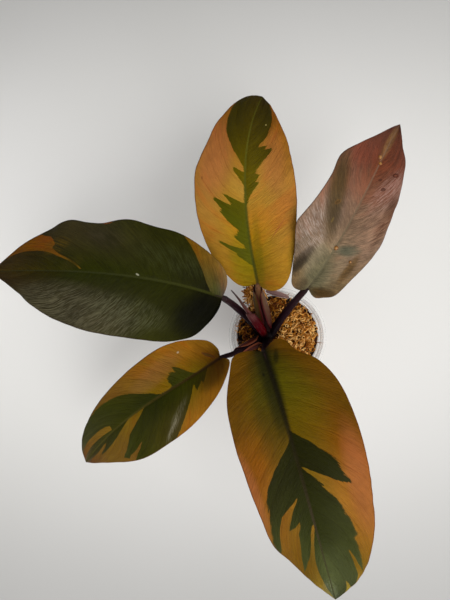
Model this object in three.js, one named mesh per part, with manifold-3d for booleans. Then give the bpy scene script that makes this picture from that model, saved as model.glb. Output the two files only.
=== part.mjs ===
// Black cardinal philodendron in a clear pot of moss: short stem, five stalked leaves, one new leaf.
// Millimetres, +Z up. The pot stands on z = 0 with its axis on Z, and the front of the plant is -Y.
// A leaf outline is laid flat: y runs along the midrib from the stalk to the tip, x across it.

import * as THREE from 'three';
import { mergeVertices } from 'three/addons/utils/BufferGeometryUtils.js';
import Module from 'manifold-3d';

const wasm = await Module();
wasm.setup();

const UP = new THREE.Vector3(0, 0, 1);
const GAP = 0.3; // clear space between neighbouring pieces

// Pot
const POT_HEIGHT = 90;
const POT_WALL = 0.8;
const POT_SEGMENTS = 40;
const BEAD_RADIUS = 1.6;
const RIM_RADIUS = 49; // outside of the rolled rim
const FOOT_LIFT = 1.2; // the floor between boss and foot ring stands this far off the ground
// Outside of the wall from the centre of the underside to the neck, as [radius, height]
const POT_OUTSIDE = [
  [0, 0], [8, 0], [9.2, FOOT_LIFT], [25, FOOT_LIFT], [26.2, 0], [31, 0], [33, 1.4],
  [43.4, 71], [44.8, 73], [45.4, 81], [46.4, 83], [46.7, POT_HEIGHT - 2 * BEAD_RADIUS],
];

// Moss: it rises to the back, dips about the stem, and is heaped over the rim at the back left
const MOSS_FLOOR = 3;
const MOSS_EDGE_HEIGHT = 73;
const MOSS_CROWN = 4; // rise of the moss from its edge to its middle
const MOSS_SLOPE = 0.07; // rise towards the back, over the distance
const MOSS_DIP = 6;
const MOSS_DIP_WIDTH = 13;
const MOSS_HEAP = [-18.5, 35.5, 14]; // middle and height
const MOSS_HEAP_WIDTH = 11;
const MOSS_TUFT = [-22.5, 41.5, 91.5]; // middle of the part that hangs over the rim
const MOSS_TUFT_RADII = [9, 9.5, 7];
const MOSS_TUFT_SEGMENTS = 10;
const MOSS_EDGE_RADIUS = 42;
const MOSS_FLOOR_RADIUS = 31.9;
const MOSS_RINGS = 6;
const MOSS_SEGMENTS = 30;

// Stem and roots
const STEM_PATH = [[-11, 0, 58], [-11, 0, 70], [-11, 0.5, 82], [-11, 1, 92]];
const STEM_RADII = [6.4, 7.6, 7.2, 7.8, 7, 7.6, 6.8, 7.2, 6.2, 5.4, 2.6];
const STEM_SIDES = 12;
const CROWN_PATH = [[-11, 0, 57.4], [-11, 0, 54], [-10.5, 0, 50], [-9.5, 0, 46]];
const CROWN_RADII = [6, 5.8, 5, 2.4];
const ROOT_RADII = [1.7, 1.5, 1.3, 1, 0.6];
const ROOT_COUNT = 7;
const ROOT_SIDES = 6;

// Leaves
const BLADE_THICKNESS = 0.8;
const BLADE_ROWS = 18; // side veins from the lobe to the tip
const BLADE_COLUMNS = 6; // steps from the midrib to the margin
const LOBE_SHARE = 0.12; // share of the margin whose veins all leave from the stalk
const FIRST_VEIN_SHARE = 0.04;
const VEIN_LAG = 1.5; // how far the side veins sweep forward
const VEIN_ARCH = 0.07; // bulge of a side vein towards the stalk, over its length
const BEND_SPAN = 50; // a blade's bend is the turn over this width
const WAVE_SPAN = 45; // a wave has its full height this far from the midrib
const RIB_START_RADIUS = 2.3;
const RIB_END_RADIUS = 0.6;
const RIB_DROP = 0.9; // depth of the rib's axis under the blade, over its radius
const RIB_SHARES = [0, 0.06, 0.2, 0.4, 0.6, 0.8, 0.92]; // the rib's curve runs through these places
const RIB_ROWS = 16;
const RIB_SIDES = 6;
const NECK_LENGTH = 6; // stalk end that belongs to the blade
const STALK_ROWS = 12;
const TUBE_SIDES = 8;
const CURVE_STEPS = 40; // length samples between two points of a stalk

// rise: tilt of each half at the midrib, from base to tip; bend: turn of each half over BEND_SPAN;
// roll: turn about the midrib, all in degrees. waves: height, length and start for each half.
const LEAVES = {
  back: {
    colour: 0x6d5a17,
    stalk: [[-10, 5.5, 86], [-11.6, 14.5, 98.6], [-15.2, 30, 117], [-17, 40, 134]],
    stalkRadii: [4.2, 3.4, 3, 2.4],
    midrib: [[-17, 47, 150], [-28, 103, 172], [-34, 162, 180], [-12, 215, 158]],
    left: [
      [0, 0], [-12, 0], [-21, 7], [-33, 27], [-41, 50], [-44, 75], [-45, 98], [-41, 109], [-35, 123],
      [-29, 142], [-19, 162], [-9, 172], [0, 175],
    ],
    right: [
      [0, 0], [7, -8], [20, -8], [31, 5], [40, 37], [44, 70], [42, 97], [35, 128], [22, 152],
      [12, 165], [0, 175],
    ],
    rise: [16, 8],
    bend: [26, 30],
    roll: [0, 0],
    waves: [[1.5, 60, 0.1], [1.5, 60, 0.6]],
  },
  back_right: {
    colour: 0x724a2c,
    stalk: [[-7, 1, 80.5], [2, 14.3, 95], [16, 31.8, 121]],
    stalkRadii: [4.8, 4, 3.6, 2.9],
    midrib: [[28, 43, 140], [67, 95, 168], [84, 146, 176], [109, 187, 150]],
    left: [
      [0, 0], [-8, -5], [-18, -2], [-25, 10], [-35, 30], [-43, 46], [-43, 55], [-38, 78], [-35, 95],
      [-35, 112], [-25, 127], [-13, 145], [0, 172],
    ],
    right: [
      [0, 0], [9, -4], [16, 0], [24, 8], [28, 28], [34, 53], [35, 65], [30, 91], [29, 104],
      [22, 134], [11, 152], [0, 172],
    ],
    rise: [20, 12],
    bend: [30, 34],
    roll: [-24, -20],
    waves: [[2.6, 70, 0.3], [2, 70, 0.85]],
  },
  left: {
    colour: 0x3c3c14,
    stalk: [[-14, 2.5, 82], [-24, 13, 96], [-34, 23, 116], [-42, 30, 142]],
    stalkRadii: [4.6, 3.5, 3.3, 2.7],
    midrib: [[-47, 33, 165], [-107, 54, 190], [-182, 55, 200], [-254, 56, 176]],
    left: [
      [0, 0], [-12, 0], [-27, 6], [-41, 17], [-50, 40], [-52, 63], [-52, 91], [-49, 119], [-40, 148],
      [-29, 167], [-14, 189], [0, 214],
    ],
    right: [
      [0, 0], [12, 0], [23, 6], [33, 21], [43, 47], [46, 71], [48, 88], [43, 114], [44, 136],
      [37, 153], [27, 171], [14, 191], [0, 214],
    ],
    rise: [14, 8],
    bend: [26, 30],
    roll: [0, 0],
    waves: [[1.2, 48, 0], [2.2, 48, 0.4]],
  },
  front_left: {
    colour: 0x5c4318,
    stalk: [[-15, -2.5, 84], [-27, -9.6, 97], [-43, -17.6, 113]],
    stalkRadii: [4.4, 3.6, 2.8, 2.2],
    midrib: [[-54, -21, 121], [-100, -54, 140], [-144, -71, 138], [-188, -125, 112]],
    left: [
      [0, 0], [-6, -6], [-13, -1], [-25, 16], [-33, 34], [-39, 55], [-41, 79], [-40, 108], [-32, 132],
      [-12, 162], [0, 175],
    ],
    right: [
      [0, 0], [8, -3], [20, 1], [30, 15], [37, 33], [39, 54], [36, 83], [32, 107], [27, 130],
      [16, 158], [0, 175],
    ],
    rise: [14, 8],
    bend: [24, 26],
    roll: [0, 0],
    waves: [[1.2, 56, 0], [1.2, 56, 0.5]],
  },
  front: {
    colour: 0x5a4a0c,
    stalk: [[-10, -3.5, 86], [-11, -12, 105], [-12, -20, 132], [-12, -20, 158]],
    stalkRadii: [4.8, 4, 3.4, 3],
    midrib: [[-11, -13, 175], [7, -60, 198], [24, -129, 204], [46, -212, 160]],
    left: [
      [0, 0], [-13, -5], [-21, 0], [-26, 10], [-40, 23], [-49, 42], [-52, 70], [-51, 108], [-46, 143],
      [-38, 168], [-27, 192], [-13, 205], [0, 215],
    ],
    right: [
      [0, 0], [12, -4], [25, -3], [32, 9], [40, 30], [43, 51], [43, 81], [39, 119], [35, 151],
      [26, 166], [13, 191], [0, 215],
    ],
    rise: [20, 8],
    bend: [24, 30],
    roll: [0, 0],
    waves: [[2, 80, 0.2], [2, 80, 0.7]],
  },
};

// Sheaths: open shells about a path. radii and spread (half the arc they cover, degrees) run from
// base to tip, evenly spaced; turn winds the shell about its path.
const SHEATH_THICKNESS = 0.8;
const SHEATH_ROWS = 11;
const SHEATH_COLUMNS = 8;
const SHEATH_BACK = {
  path: [[-10.6, 9.6, 91.4], [-11.6, 14.5, 98.6], [-15.2, 30, 117], [-17.3, 41.5, 133], [-17.1, 45.6, 142]],
  radii: [5.4, 6.4, 6.8, 6.6, 5.7, 4.4, 3.5],
  spread: [130, 164, 173, 174, 173, 160, 40],
};
const SHEATH_FRONT_LEFT = {
  path: [[-18.5, -4.6, 87.8], [-27, -9.6, 97], [-40, -16.2, 109.8]],
  radii: [5.2, 5.6, 5.4, 4.9, 4.2, 3.4],
  spread: [130, 168, 173, 170, 148, 50],
};
const RED_SHEATH = {
  path: [[-12.4, 0.8, 93], [-15.2, 6.2, 104], [-20.5, 14.2, 117], [-27.2, 23.2, 135]],
  radii: [3.4, 3.8, 4.1, 4, 3.6, 3.2],
  spread: [175, 175, 174, 164, 120, 20],
  turn: -140,
};
const FALLEN_SHEATH = {
  path: [[-11, 45.2, 94.6], [1, 42.6, 91], [13, 39.6, 83]],
  radii: [1, 2.2, 2.8, 2.6, 2, 1],
  spread: [60, 95, 110, 110, 90, 60],
};

// The new leaf, still rolled
const ROLLED_PATH = [
  [-12.5, 1, 93.5], [-16, 7.3, 106], [-20.5, 14.2, 117],
  [-28.1, 24.5, 138], [-33.9, 33.1, 156], [-38.7, 38.9, 170],
];
const ROLLED_RADII = [1.8, 2.2, 2.5, 2.6, 2.5, 2.2, 1.8, 1.4, 1, 0.7, 0.5];

function vector(point) {
  return new THREE.Vector3(...point);
}

function smoothPath(points) {
  return new THREE.CatmullRomCurve3(points.map(vector), false, 'centripetal');
}

function alongList(values, share) {
  const place = THREE.MathUtils.clamp(share, 0, 1) * (values.length - 1);
  const first = Math.min(Math.floor(place), values.length - 2);
  return THREE.MathUtils.lerp(values[first], values[first + 1], place - first);
}

function solidFrom(geometry) {
  const bare = new THREE.BufferGeometry();
  bare.setAttribute('position', geometry.getAttribute('position').clone());
  if (geometry.index) {
    bare.setIndex(Array.from(geometry.index.array));
  }
  const merged = mergeVertices(bare, 1e-4);
  return new wasm.Manifold(new wasm.Mesh({
    numProp: 3,
    vertProperties: Float32Array.from(merged.getAttribute('position').array),
    triVerts: Uint32Array.from(merged.index.array),
  }));
}

function solidFromFaces(points, faces) {
  const geometry = new THREE.BufferGeometry();
  const places = points.flatMap((point) => [point.x, point.y, point.z]);
  geometry.setAttribute('position', new THREE.Float32BufferAttribute(places, 3));
  geometry.setIndex(faces.flat());
  return solidFrom(geometry);
}

function turnedSolid(profile, segments) {
  const outline = profile.map(([radius, height]) => new THREE.Vector2(radius, height));
  const geometry = new THREE.LatheGeometry(outline, segments);
  geometry.rotateX(Math.PI / 2);
  return solidFrom(geometry);
}

// Round tube along the part of a curve between two shares of its length, closed by flat ends.
// extra widens and lengthens it, to cut the clear space about a piece.
function tubeSolid(curve, radii, sides, rows, { from = 0, to = 1, extra = 0 } = {}) {
  const points = [];
  const faces = [];
  let across = new THREE.Vector3(0.31, 0.95, 0.05);
  for (let row = 0; row <= rows; row += 1) {
    const share = THREE.MathUtils.lerp(from, to, row / rows);
    const along = curve.getTangentAt(share);
    const centre = curve.getPointAt(share);
    if (row === 0 || row === rows) {
      centre.addScaledVector(along, row === 0 ? -extra : extra);
    }
    across = across.clone().addScaledVector(along, -across.dot(along)).normalize();
    const other = along.clone().cross(across);
    const radius = alongList(radii, row / rows) + extra;
    for (let side = 0; side < sides; side += 1) {
      const angle = (2 * Math.PI * side) / sides;
      points.push(centre.clone()
        .addScaledVector(across, radius * Math.cos(angle))
        .addScaledVector(other, radius * Math.sin(angle)));
    }
  }
  for (let row = 0; row < rows; row += 1) {
    for (let side = 0; side < sides; side += 1) {
      const a = row * sides + side;
      const b = row * sides + ((side + 1) % sides);
      faces.push([a, b, b + sides], [a, b + sides, a + sides]);
    }
  }
  for (let side = 1; side < sides - 1; side += 1) {
    faces.push([0, side + 1, side]);
    faces.push([rows * sides, rows * sides + side, rows * sides + side + 1]);
  }
  return solidFromFaces(points, faces);
}

// Thin solid about a surface: the same triangles on both faces, joined along the open edges
function sheetSolid(points, normals, triangles, thickness) {
  const count = points.length;
  const half = thickness / 2;
  const front = points.map((point, i) => point.clone().addScaledVector(normals[i], half));
  const back = points.map((point, i) => point.clone().addScaledVector(normals[i], -half));
  const open = new Map();
  triangles.forEach((triangle) => {
    triangle.forEach((from, corner) => {
      const to = triangle[(corner + 1) % 3];
      if (!open.delete(`${to},${from}`)) {
        open.set(`${from},${to}`, [from, to]);
      }
    });
  });
  const faces = [];
  triangles.forEach(([a, b, c]) => {
    faces.push([a, b, c], [a + count, c + count, b + count]);
  });
  open.forEach(([from, to]) => {
    faces.push([to, from, from + count], [to, from + count, to + count]);
  });
  return solidFromFaces([...front, ...back], faces);
}

class Blade {
  constructor(leaf) {
    this.leaf = leaf;
    this.midrib = new THREE.CubicBezierCurve3(...leaf.midrib.map(vector));
    this.length = this.midrib.getLength();
    this.margins = [leaf.left, leaf.right].map((side) => (
      new THREE.SplineCurve(side.map(([x, y]) => new THREE.Vector2(x, y)))
    ));
  }

  // Point, direction across and normal on the midrib line, run on straight past its ends
  frameAt(y) {
    const share = THREE.MathUtils.clamp(y / this.length, 0, 1);
    const along = this.midrib.getTangentAt(share);
    const point = this.midrib.getPointAt(share).addScaledVector(along, y - share * this.length);
    const roll = THREE.MathUtils.degToRad(alongList(this.leaf.roll, share));
    const across = along.clone().cross(UP).normalize();
    const normal = across.clone().cross(along);
    return {
      point,
      across: across.clone().multiplyScalar(Math.cos(roll)).addScaledVector(normal, Math.sin(roll)),
      normal: normal.clone().multiplyScalar(Math.cos(roll)).addScaledVector(across, -Math.sin(roll)),
    };
  }

  // Place in space of the flat point (x, y)
  pointAt(x, y) {
    const share = THREE.MathUtils.clamp(y / this.length, 0, 1);
    const frame = this.frameAt(y);
    const rise = THREE.MathUtils.degToRad(alongList(this.leaf.rise, share));
    const turn = THREE.MathUtils.degToRad(alongList(this.leaf.bend, share)) / BEND_SPAN;
    const away = Math.abs(x);
    const [height, length, start] = this.leaf.waves[x > 0 ? 1 : 0];
    const wave = height * (away / WAVE_SPAN) ** 2 * Math.sin(2 * Math.PI * (y / length + start));
    const out = (Math.sin(rise) - Math.sin(rise - turn * away)) / turn;
    const up = (Math.cos(rise - turn * away) - Math.cos(rise)) / turn + wave;
    return frame.point.addScaledVector(frame.across, Math.sign(x) * out).addScaledVector(frame.normal, up);
  }

  normalAt(x, y) {
    if (Math.abs(x) < 0.01) {
      return this.frameAt(y).normal;
    }
    const step = 0.5;
    const across = this.pointAt(x + step, y).sub(this.pointAt(x - step, y));
    const along = this.pointAt(x, y + step).sub(this.pointAt(x, y - step));
    return across.cross(along).normalize();
  }

  // Flat point on a side vein: side 0 is left and 1 right, share runs along the margin
  veinPoint(side, share, step) {
    const reach = Math.max(0, (share - LOBE_SHARE) / (1 - LOBE_SHARE));
    const start = new THREE.Vector2(0, this.length * reach ** VEIN_LAG);
    const end = this.margins[side].getPointAt(share);
    const middle = start.clone().lerp(end, 0.5);
    middle.y -= VEIN_ARCH * start.distanceTo(end);
    return new THREE.QuadraticBezierCurve(start, middle, end).getPoint(step);
  }

  sheet() {
    const points = [];
    const normals = [];
    const triangles = [];
    const found = new Map();
    const cornerAt = (side, row, column) => {
      const share = THREE.MathUtils.lerp(FIRST_VEIN_SHARE, 1, row / BLADE_ROWS);
      const flat = this.veinPoint(side, share, column / BLADE_COLUMNS);
      const key = `${flat.x.toFixed(2)},${flat.y.toFixed(2)}`;
      if (!found.has(key)) {
        found.set(key, points.length);
        points.push(this.pointAt(flat.x, flat.y));
        normals.push(this.normalAt(flat.x, flat.y));
      }
      return found.get(key);
    };
    [0, 1].forEach((side) => {
      for (let row = 0; row < BLADE_ROWS; row += 1) {
        for (let column = 0; column < BLADE_COLUMNS; column += 1) {
          const near = cornerAt(side, row, column);
          const far = cornerAt(side, row, column + 1);
          const nextNear = cornerAt(side, row + 1, column);
          const nextFar = cornerAt(side, row + 1, column + 1);
          const pair = side === 0
            ? [[near, nextNear, nextFar], [near, nextFar, far]]
            : [[near, nextFar, nextNear], [near, far, nextFar]];
          pair.filter((face) => new Set(face).size === 3).forEach((face) => triangles.push(face));
        }
      }
    });
    return sheetSolid(points, normals, triangles, BLADE_THICKNESS);
  }

  // The stalk and the rib under the blade are one line, cut a neck's length before the blade
  stalkAndRib() {
    const stalk = this.leaf.stalk.map(vector);
    const rib = RIB_SHARES.map((share) => {
      const frame = this.frameAt(share * this.length);
      const radius = THREE.MathUtils.lerp(RIB_START_RADIUS, RIB_END_RADIUS, share);
      return frame.point.addScaledVector(frame.normal, -RIB_DROP * radius);
    });
    const curve = new THREE.CatmullRomCurve3([...stalk, ...rib], false, 'centripetal');
    const lengths = curve.getLengths(CURVE_STEPS * (stalk.length + rib.length - 1));
    const whole = lengths[lengths.length - 1];
    const joint = lengths[CURVE_STEPS * stalk.length];
    const cut = joint - NECK_LENGTH;
    const ribRadii = Array.from({ length: RIB_ROWS + 1 }, (_, row) => {
      const past = (THREE.MathUtils.lerp(cut, whole, row / RIB_ROWS) - joint) / (whole - joint);
      if (past < 0) {
        return this.leaf.stalkRadii.at(-1);
      }
      return THREE.MathUtils.lerp(RIB_START_RADIUS, RIB_END_RADIUS, past);
    });
    const stalkSpan = { to: (cut - GAP) / whole };
    return {
      stalk: tubeSolid(curve, this.leaf.stalkRadii, TUBE_SIDES, STALK_ROWS, stalkSpan),
      clearance: tubeSolid(curve, this.leaf.stalkRadii, TUBE_SIDES, STALK_ROWS, { ...stalkSpan, extra: GAP }),
      rib: tubeSolid(curve, ribRadii, RIB_SIDES, RIB_ROWS, { from: cut / whole }),
    };
  }
}

// Open shell about a path; its gap faces up, unless it is turned
function sheathSolid({ path, radii, spread, turn = 0 }) {
  const curve = smoothPath(path);
  const wound = THREE.MathUtils.degToRad(turn);
  const points = [];
  const normals = [];
  const triangles = [];
  for (let row = 0; row <= SHEATH_ROWS; row += 1) {
    const centre = curve.getPointAt(row / SHEATH_ROWS);
    const along = curve.getTangentAt(row / SHEATH_ROWS);
    const across = along.clone().cross(UP).normalize();
    const down = along.clone().cross(across);
    const radius = alongList(radii, row / SHEATH_ROWS);
    const half = THREE.MathUtils.degToRad(alongList(spread, row / SHEATH_ROWS));
    for (let column = 0; column <= SHEATH_COLUMNS; column += 1) {
      const angle = wound + THREE.MathUtils.lerp(-half, half, column / SHEATH_COLUMNS);
      const outward = down.clone().multiplyScalar(Math.cos(angle)).addScaledVector(across, Math.sin(angle));
      points.push(centre.clone().addScaledVector(outward, radius));
      normals.push(outward);
    }
  }
  const width = SHEATH_COLUMNS + 1;
  for (let row = 0; row < SHEATH_ROWS; row += 1) {
    for (let column = 0; column < SHEATH_COLUMNS; column += 1) {
      const a = row * width + column;
      triangles.push([a, a + width, a + width + 1], [a, a + width + 1, a + 1]);
    }
  }
  return sheetSolid(points, normals, triangles, SHEATH_THICKNESS);
}

// Ring of space that the tuft leaves about the upper wall and the rim
function rimClearance() {
  const inner = MOSS_EDGE_RADIUS + GAP;
  const outer = RIM_RADIUS + GAP;
  const top = POT_HEIGHT + GAP;
  const shoulder = top - BEAD_RADIUS / 2;
  const profile = [
    [inner, MOSS_EDGE_HEIGHT], [outer, MOSS_EDGE_HEIGHT], [outer, shoulder], [outer - BEAD_RADIUS / 2, top],
    [inner + BEAD_RADIUS, top], [inner, shoulder], [inner, MOSS_EDGE_HEIGHT],
  ];
  return turnedSolid(profile, POT_SEGMENTS);
}

function potSolid() {
  const neck = POT_OUTSIDE[POT_OUTSIDE.length - 1];
  const beadCentre = [RIM_RADIUS - BEAD_RADIUS, POT_HEIGHT - BEAD_RADIUS];
  const bead = [-60, -25, 15, 55, 95, 135, 175].map((degrees) => {
    const angle = THREE.MathUtils.degToRad(degrees);
    return [beadCentre[0] + BEAD_RADIUS * Math.cos(angle), beadCentre[1] + BEAD_RADIUS * Math.sin(angle)];
  });
  const inside = POT_OUTSIDE.slice(1).reverse().map(([radius, height]) => (
    height > 2 * FOOT_LIFT ? [radius - POT_WALL, height] : [radius - POT_WALL / 2, height + POT_WALL]
  ));
  return turnedSolid([...POT_OUTSIDE.slice(0, -1), neck, ...bead, ...inside, [0, POT_WALL]], POT_SEGMENTS);
}

function mossHeight(x, y) {
  const away = Math.hypot(x, y) / MOSS_EDGE_RADIUS;
  const lumps = Math.sin(x * 0.31 + 1.7) * Math.cos(y * 0.27) + 0.6 * Math.sin(x * 0.55 - y * 0.43);
  const fromStem = Math.hypot(x - STEM_PATH[0][0], y - STEM_PATH[0][1]) / MOSS_DIP_WIDTH;
  const fromHeap = Math.hypot(x - MOSS_HEAP[0], y - MOSS_HEAP[1]) / MOSS_HEAP_WIDTH;
  return MOSS_EDGE_HEIGHT + MOSS_CROWN * (1 - away ** 2) + MOSS_SLOPE * y + 0.8 * lumps
    - MOSS_DIP * Math.exp(-(fromStem ** 2)) + MOSS_HEAP[2] * Math.exp(-(fromHeap ** 2));
}

// Soft lump over the rim, cut clear of the pot
function mossTuft() {
  const geometry = new THREE.SphereGeometry(1, MOSS_TUFT_SEGMENTS, MOSS_TUFT_SEGMENTS - 2);
  geometry.scale(...MOSS_TUFT_RADII);
  geometry.rotateZ(Math.atan2(MOSS_TUFT[1], MOSS_TUFT[0]));
  geometry.translate(...MOSS_TUFT);
  return solidFrom(geometry).subtract(rimClearance());
}

function mossPlug() {
  const points = [new THREE.Vector3(0, 0, mossHeight(0, 0))];
  const faces = [];
  const ringAt = (ring, segment) => 1 + ring * MOSS_SEGMENTS + (segment % MOSS_SEGMENTS);
  for (let ring = 1; ring <= MOSS_RINGS + 1; ring += 1) {
    const onFloor = ring > MOSS_RINGS;
    const radius = onFloor ? MOSS_FLOOR_RADIUS : (MOSS_EDGE_RADIUS * ring) / MOSS_RINGS;
    for (let segment = 0; segment < MOSS_SEGMENTS; segment += 1) {
      const angle = (2 * Math.PI * segment) / MOSS_SEGMENTS;
      const x = radius * Math.cos(angle);
      const y = radius * Math.sin(angle);
      points.push(new THREE.Vector3(x, y, onFloor ? MOSS_FLOOR : mossHeight(x, y)));
    }
  }
  const floorCentre = points.push(new THREE.Vector3(0, 0, MOSS_FLOOR)) - 1;
  for (let segment = 0; segment < MOSS_SEGMENTS; segment += 1) {
    faces.push([0, ringAt(0, segment), ringAt(0, segment + 1)]);
    for (let ring = 0; ring < MOSS_RINGS; ring += 1) {
      const a = ringAt(ring, segment);
      const b = ringAt(ring, segment + 1);
      const c = ringAt(ring + 1, segment + 1);
      const d = ringAt(ring + 1, segment);
      faces.push([a, d, c], [a, c, b]);
    }
    faces.push([floorCentre, ringAt(MOSS_RINGS, segment + 1), ringAt(MOSS_RINGS, segment)]);
  }
  return solidFromFaces(points, faces);
}

// Roots wander out from the crown and down; extra widens them, to cut their channels in the moss
function rootSolid(extra) {
  let roots = tubeSolid(smoothPath(CROWN_PATH), CROWN_RADII, TUBE_SIDES, 4, { extra });
  for (let root = 0; root < ROOT_COUNT; root += 1) {
    const heading = (2 * Math.PI * root) / ROOT_COUNT + 0.4 * Math.sin(3 * root);
    const reach = 20 + 4 * Math.cos(2.1 * root);
    const drop = 34 + 5 * Math.sin(1.7 * root);
    const side = [Math.cos(heading), Math.sin(heading)];
    const path = [
      [-10.5, 0, 53],
      [-10.5 + 7 * side[0], 7 * side[1], 50],
      [-6 + 0.6 * reach * side[0], 0.6 * reach * side[1], 44 - 0.2 * drop],
      [-2 + reach * side[0], reach * side[1], 46 - 0.6 * drop],
      [-1 + 0.8 * reach * side[0], 0.8 * reach * side[1], 46 - drop],
    ];
    roots = roots.add(tubeSolid(smoothPath(path), ROOT_RADII, ROOT_SIDES, 8, { extra }));
  }
  return roots;
}

function stemSolid(extra) {
  return tubeSolid(smoothPath(STEM_PATH), STEM_RADII, STEM_SIDES, STEM_RADII.length - 1, { extra });
}

const group = new THREE.Group();
group.name = 'philodendron';

function addPiece(name, solid, colour, roughness) {
  const mesh = solid.getMesh();
  const geometry = new THREE.BufferGeometry();
  geometry.setAttribute('position', new THREE.BufferAttribute(Float32Array.from(mesh.vertProperties), 3));
  geometry.setIndex(Array.from(mesh.triVerts));
  geometry.computeVertexNormals();
  const material = new THREE.MeshStandardMaterial({ color: colour, roughness, metalness: 0 });
  const piece = new THREE.Mesh(geometry, material);
  piece.name = name;
  group.add(piece);
}

const stem = stemSolid(0);
const stemClearance = stemSolid(GAP);

addPiece('pot', potSolid(), 0xdfe3e2, 0.15);
addPiece('moss', mossPlug().add(mossTuft()).subtract(stemClearance).subtract(rootSolid(GAP)), 0x8a5a24, 0.95);
addPiece('roots', rootSolid(0), 0xb39a72, 0.8);
addPiece('stem', stem, 0x1c1214, 0.5);

// The feet of the stalks clasp the stem and one another: each is cut clear of those before it
let taken = stemClearance;
Object.entries(LEAVES).forEach(([name, leaf]) => {
  const blade = new Blade(leaf);
  const { stalk, clearance, rib } = blade.stalkAndRib();
  addPiece(`petiole_${name}`, stalk.subtract(taken), 0x221619, 0.45);
  addPiece(`blade_${name}`, blade.sheet().add(rib), leaf.colour, 0.35);
  taken = taken.add(clearance);
});

const redPath = smoothPath(RED_SHEATH.path);
const redRadii = RED_SHEATH.radii.map((radius) => radius + SHEATH_THICKNESS / 2);
const redClearance = tubeSolid(redPath, redRadii, 2 * TUBE_SIDES, SHEATH_ROWS, { extra: GAP });
addPiece('sheath_back', sheathSolid(SHEATH_BACK).subtract(taken).subtract(redClearance), 0x5c4238, 0.6);
addPiece('sheath_front_left', sheathSolid(SHEATH_FRONT_LEFT).subtract(taken), 0x5a2a1c, 0.55);
addPiece('red_sheath', sheathSolid(RED_SHEATH).subtract(taken), 0x6a0c18, 0.4);
addPiece('rolled_leaf', tubeSolid(smoothPath(ROLLED_PATH), ROLLED_RADII, TUBE_SIDES, 14), 0x3a2418, 0.4);
addPiece('fallen_sheath', sheathSolid(FALLEN_SHEATH), 0x8a6660, 0.7);

export default group;
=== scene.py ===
"""Looks of the potted philodendron: leaves, stalks, sheaths, moss and clear pot.

Lengths are millimetres throughout, and are scaled to metres where a mesh is made. A leaf is laid out flat
as in the part's source: y runs along the midrib from the stalk to the tip and x across it. Its vein map
holds, for each place, the share of the margin at which the vein through it ends, and how far along that
vein the place is.
"""

import logging
import math
from dataclasses import dataclass, field
from enum import Enum

import bmesh
import bpy
import numpy as np
from mathutils import Matrix, Vector

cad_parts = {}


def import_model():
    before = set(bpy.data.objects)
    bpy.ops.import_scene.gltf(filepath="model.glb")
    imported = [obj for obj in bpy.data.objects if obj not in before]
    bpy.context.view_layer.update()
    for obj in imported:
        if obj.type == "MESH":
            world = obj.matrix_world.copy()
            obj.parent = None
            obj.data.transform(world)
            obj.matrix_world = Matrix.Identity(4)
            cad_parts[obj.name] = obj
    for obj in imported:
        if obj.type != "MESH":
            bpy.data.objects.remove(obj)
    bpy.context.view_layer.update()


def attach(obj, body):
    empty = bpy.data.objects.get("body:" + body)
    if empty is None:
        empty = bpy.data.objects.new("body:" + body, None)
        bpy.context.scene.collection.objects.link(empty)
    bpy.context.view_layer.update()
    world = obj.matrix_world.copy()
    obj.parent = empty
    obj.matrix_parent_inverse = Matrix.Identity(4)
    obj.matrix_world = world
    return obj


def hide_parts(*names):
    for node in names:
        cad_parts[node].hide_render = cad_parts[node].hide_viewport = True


LOG = logging.getLogger("philodendron")
MM = 0.001
ROOT = "root"
UP = np.array([0.0, 0.0, 1.0])
Pairs = tuple[tuple[float, float], ...]
Path3D = tuple[tuple[float, float, float], ...]
Stops = tuple[tuple[float, str], ...]  # places on a ramp, with hex colours


class Half(Enum):
    """Side of a blade, seen from above with the tip away from the viewer."""

    LEFT = 0
    RIGHT = 1

    @property
    def sign(self) -> int:
        """Sign of x on this side."""
        return -1 if self is Half.LEFT else 1


def linear(code: str) -> tuple[float, float, float, float]:
    """Turn a hex colour into linear RGBA.

    Args:
        code: Colour as six hex digits.

    Returns:
        Linear red, green, blue and an alpha of 1.
    """
    parts = [int(code[i : i + 2], 16) / 255 for i in (0, 2, 4)]
    red, green, blue = (c / 12.92 if c <= 0.04045 else ((c + 0.055) / 1.055) ** 2.4 for c in parts)
    return red, green, blue, 1.0


def smooth(value: np.ndarray, low: float, high: float) -> np.ndarray:
    """Go smoothly from 0 at low to 1 at high."""
    t = np.clip((np.asarray(value, float) - low) / (high - low), 0, 1)
    return t * t * (3 - 2 * t)


def ripples(places: np.ndarray, size: float, seed: int) -> np.ndarray:
    """Sum seeded sine waves into soft bumps.

    Args:
        places: Points, with the coordinates in the last axis.
        size: Typical distance between bumps.
        seed: Seed of the random directions.

    Returns:
        A value for each point, mostly within -1 and 1.
    """
    draw = np.random.default_rng(seed)
    total = np.zeros(places.shape[:-1])
    for _ in range(9):
        way = draw.normal(size=places.shape[-1])
        way *= draw.uniform(0.7, 1.6) * 2 * math.pi / (size * np.linalg.norm(way))
        total += np.sin(places @ way + draw.uniform(0, 2 * math.pi))
    return total / 4


def ring_angles(sides: int) -> np.ndarray:
    """Give evenly spread angles round a full turn."""
    return np.linspace(0, 2 * math.pi, sides, endpoint=False)


def read_evenly(values: tuple[float, ...], share: np.ndarray) -> np.ndarray:
    """Read values that are spread evenly from 0 to 1."""
    return np.interp(share, np.linspace(0, 1, len(values)), values)


def skin_map(rows: int, sides: int) -> dict[str, np.ndarray]:
    """Make the map of (share round, share along) for a closed grid."""
    u, v = np.meshgrid(np.linspace(0, 1, sides + 1), np.linspace(0, 1, rows))
    return {"skin": np.stack([u, v], -1)}


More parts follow.
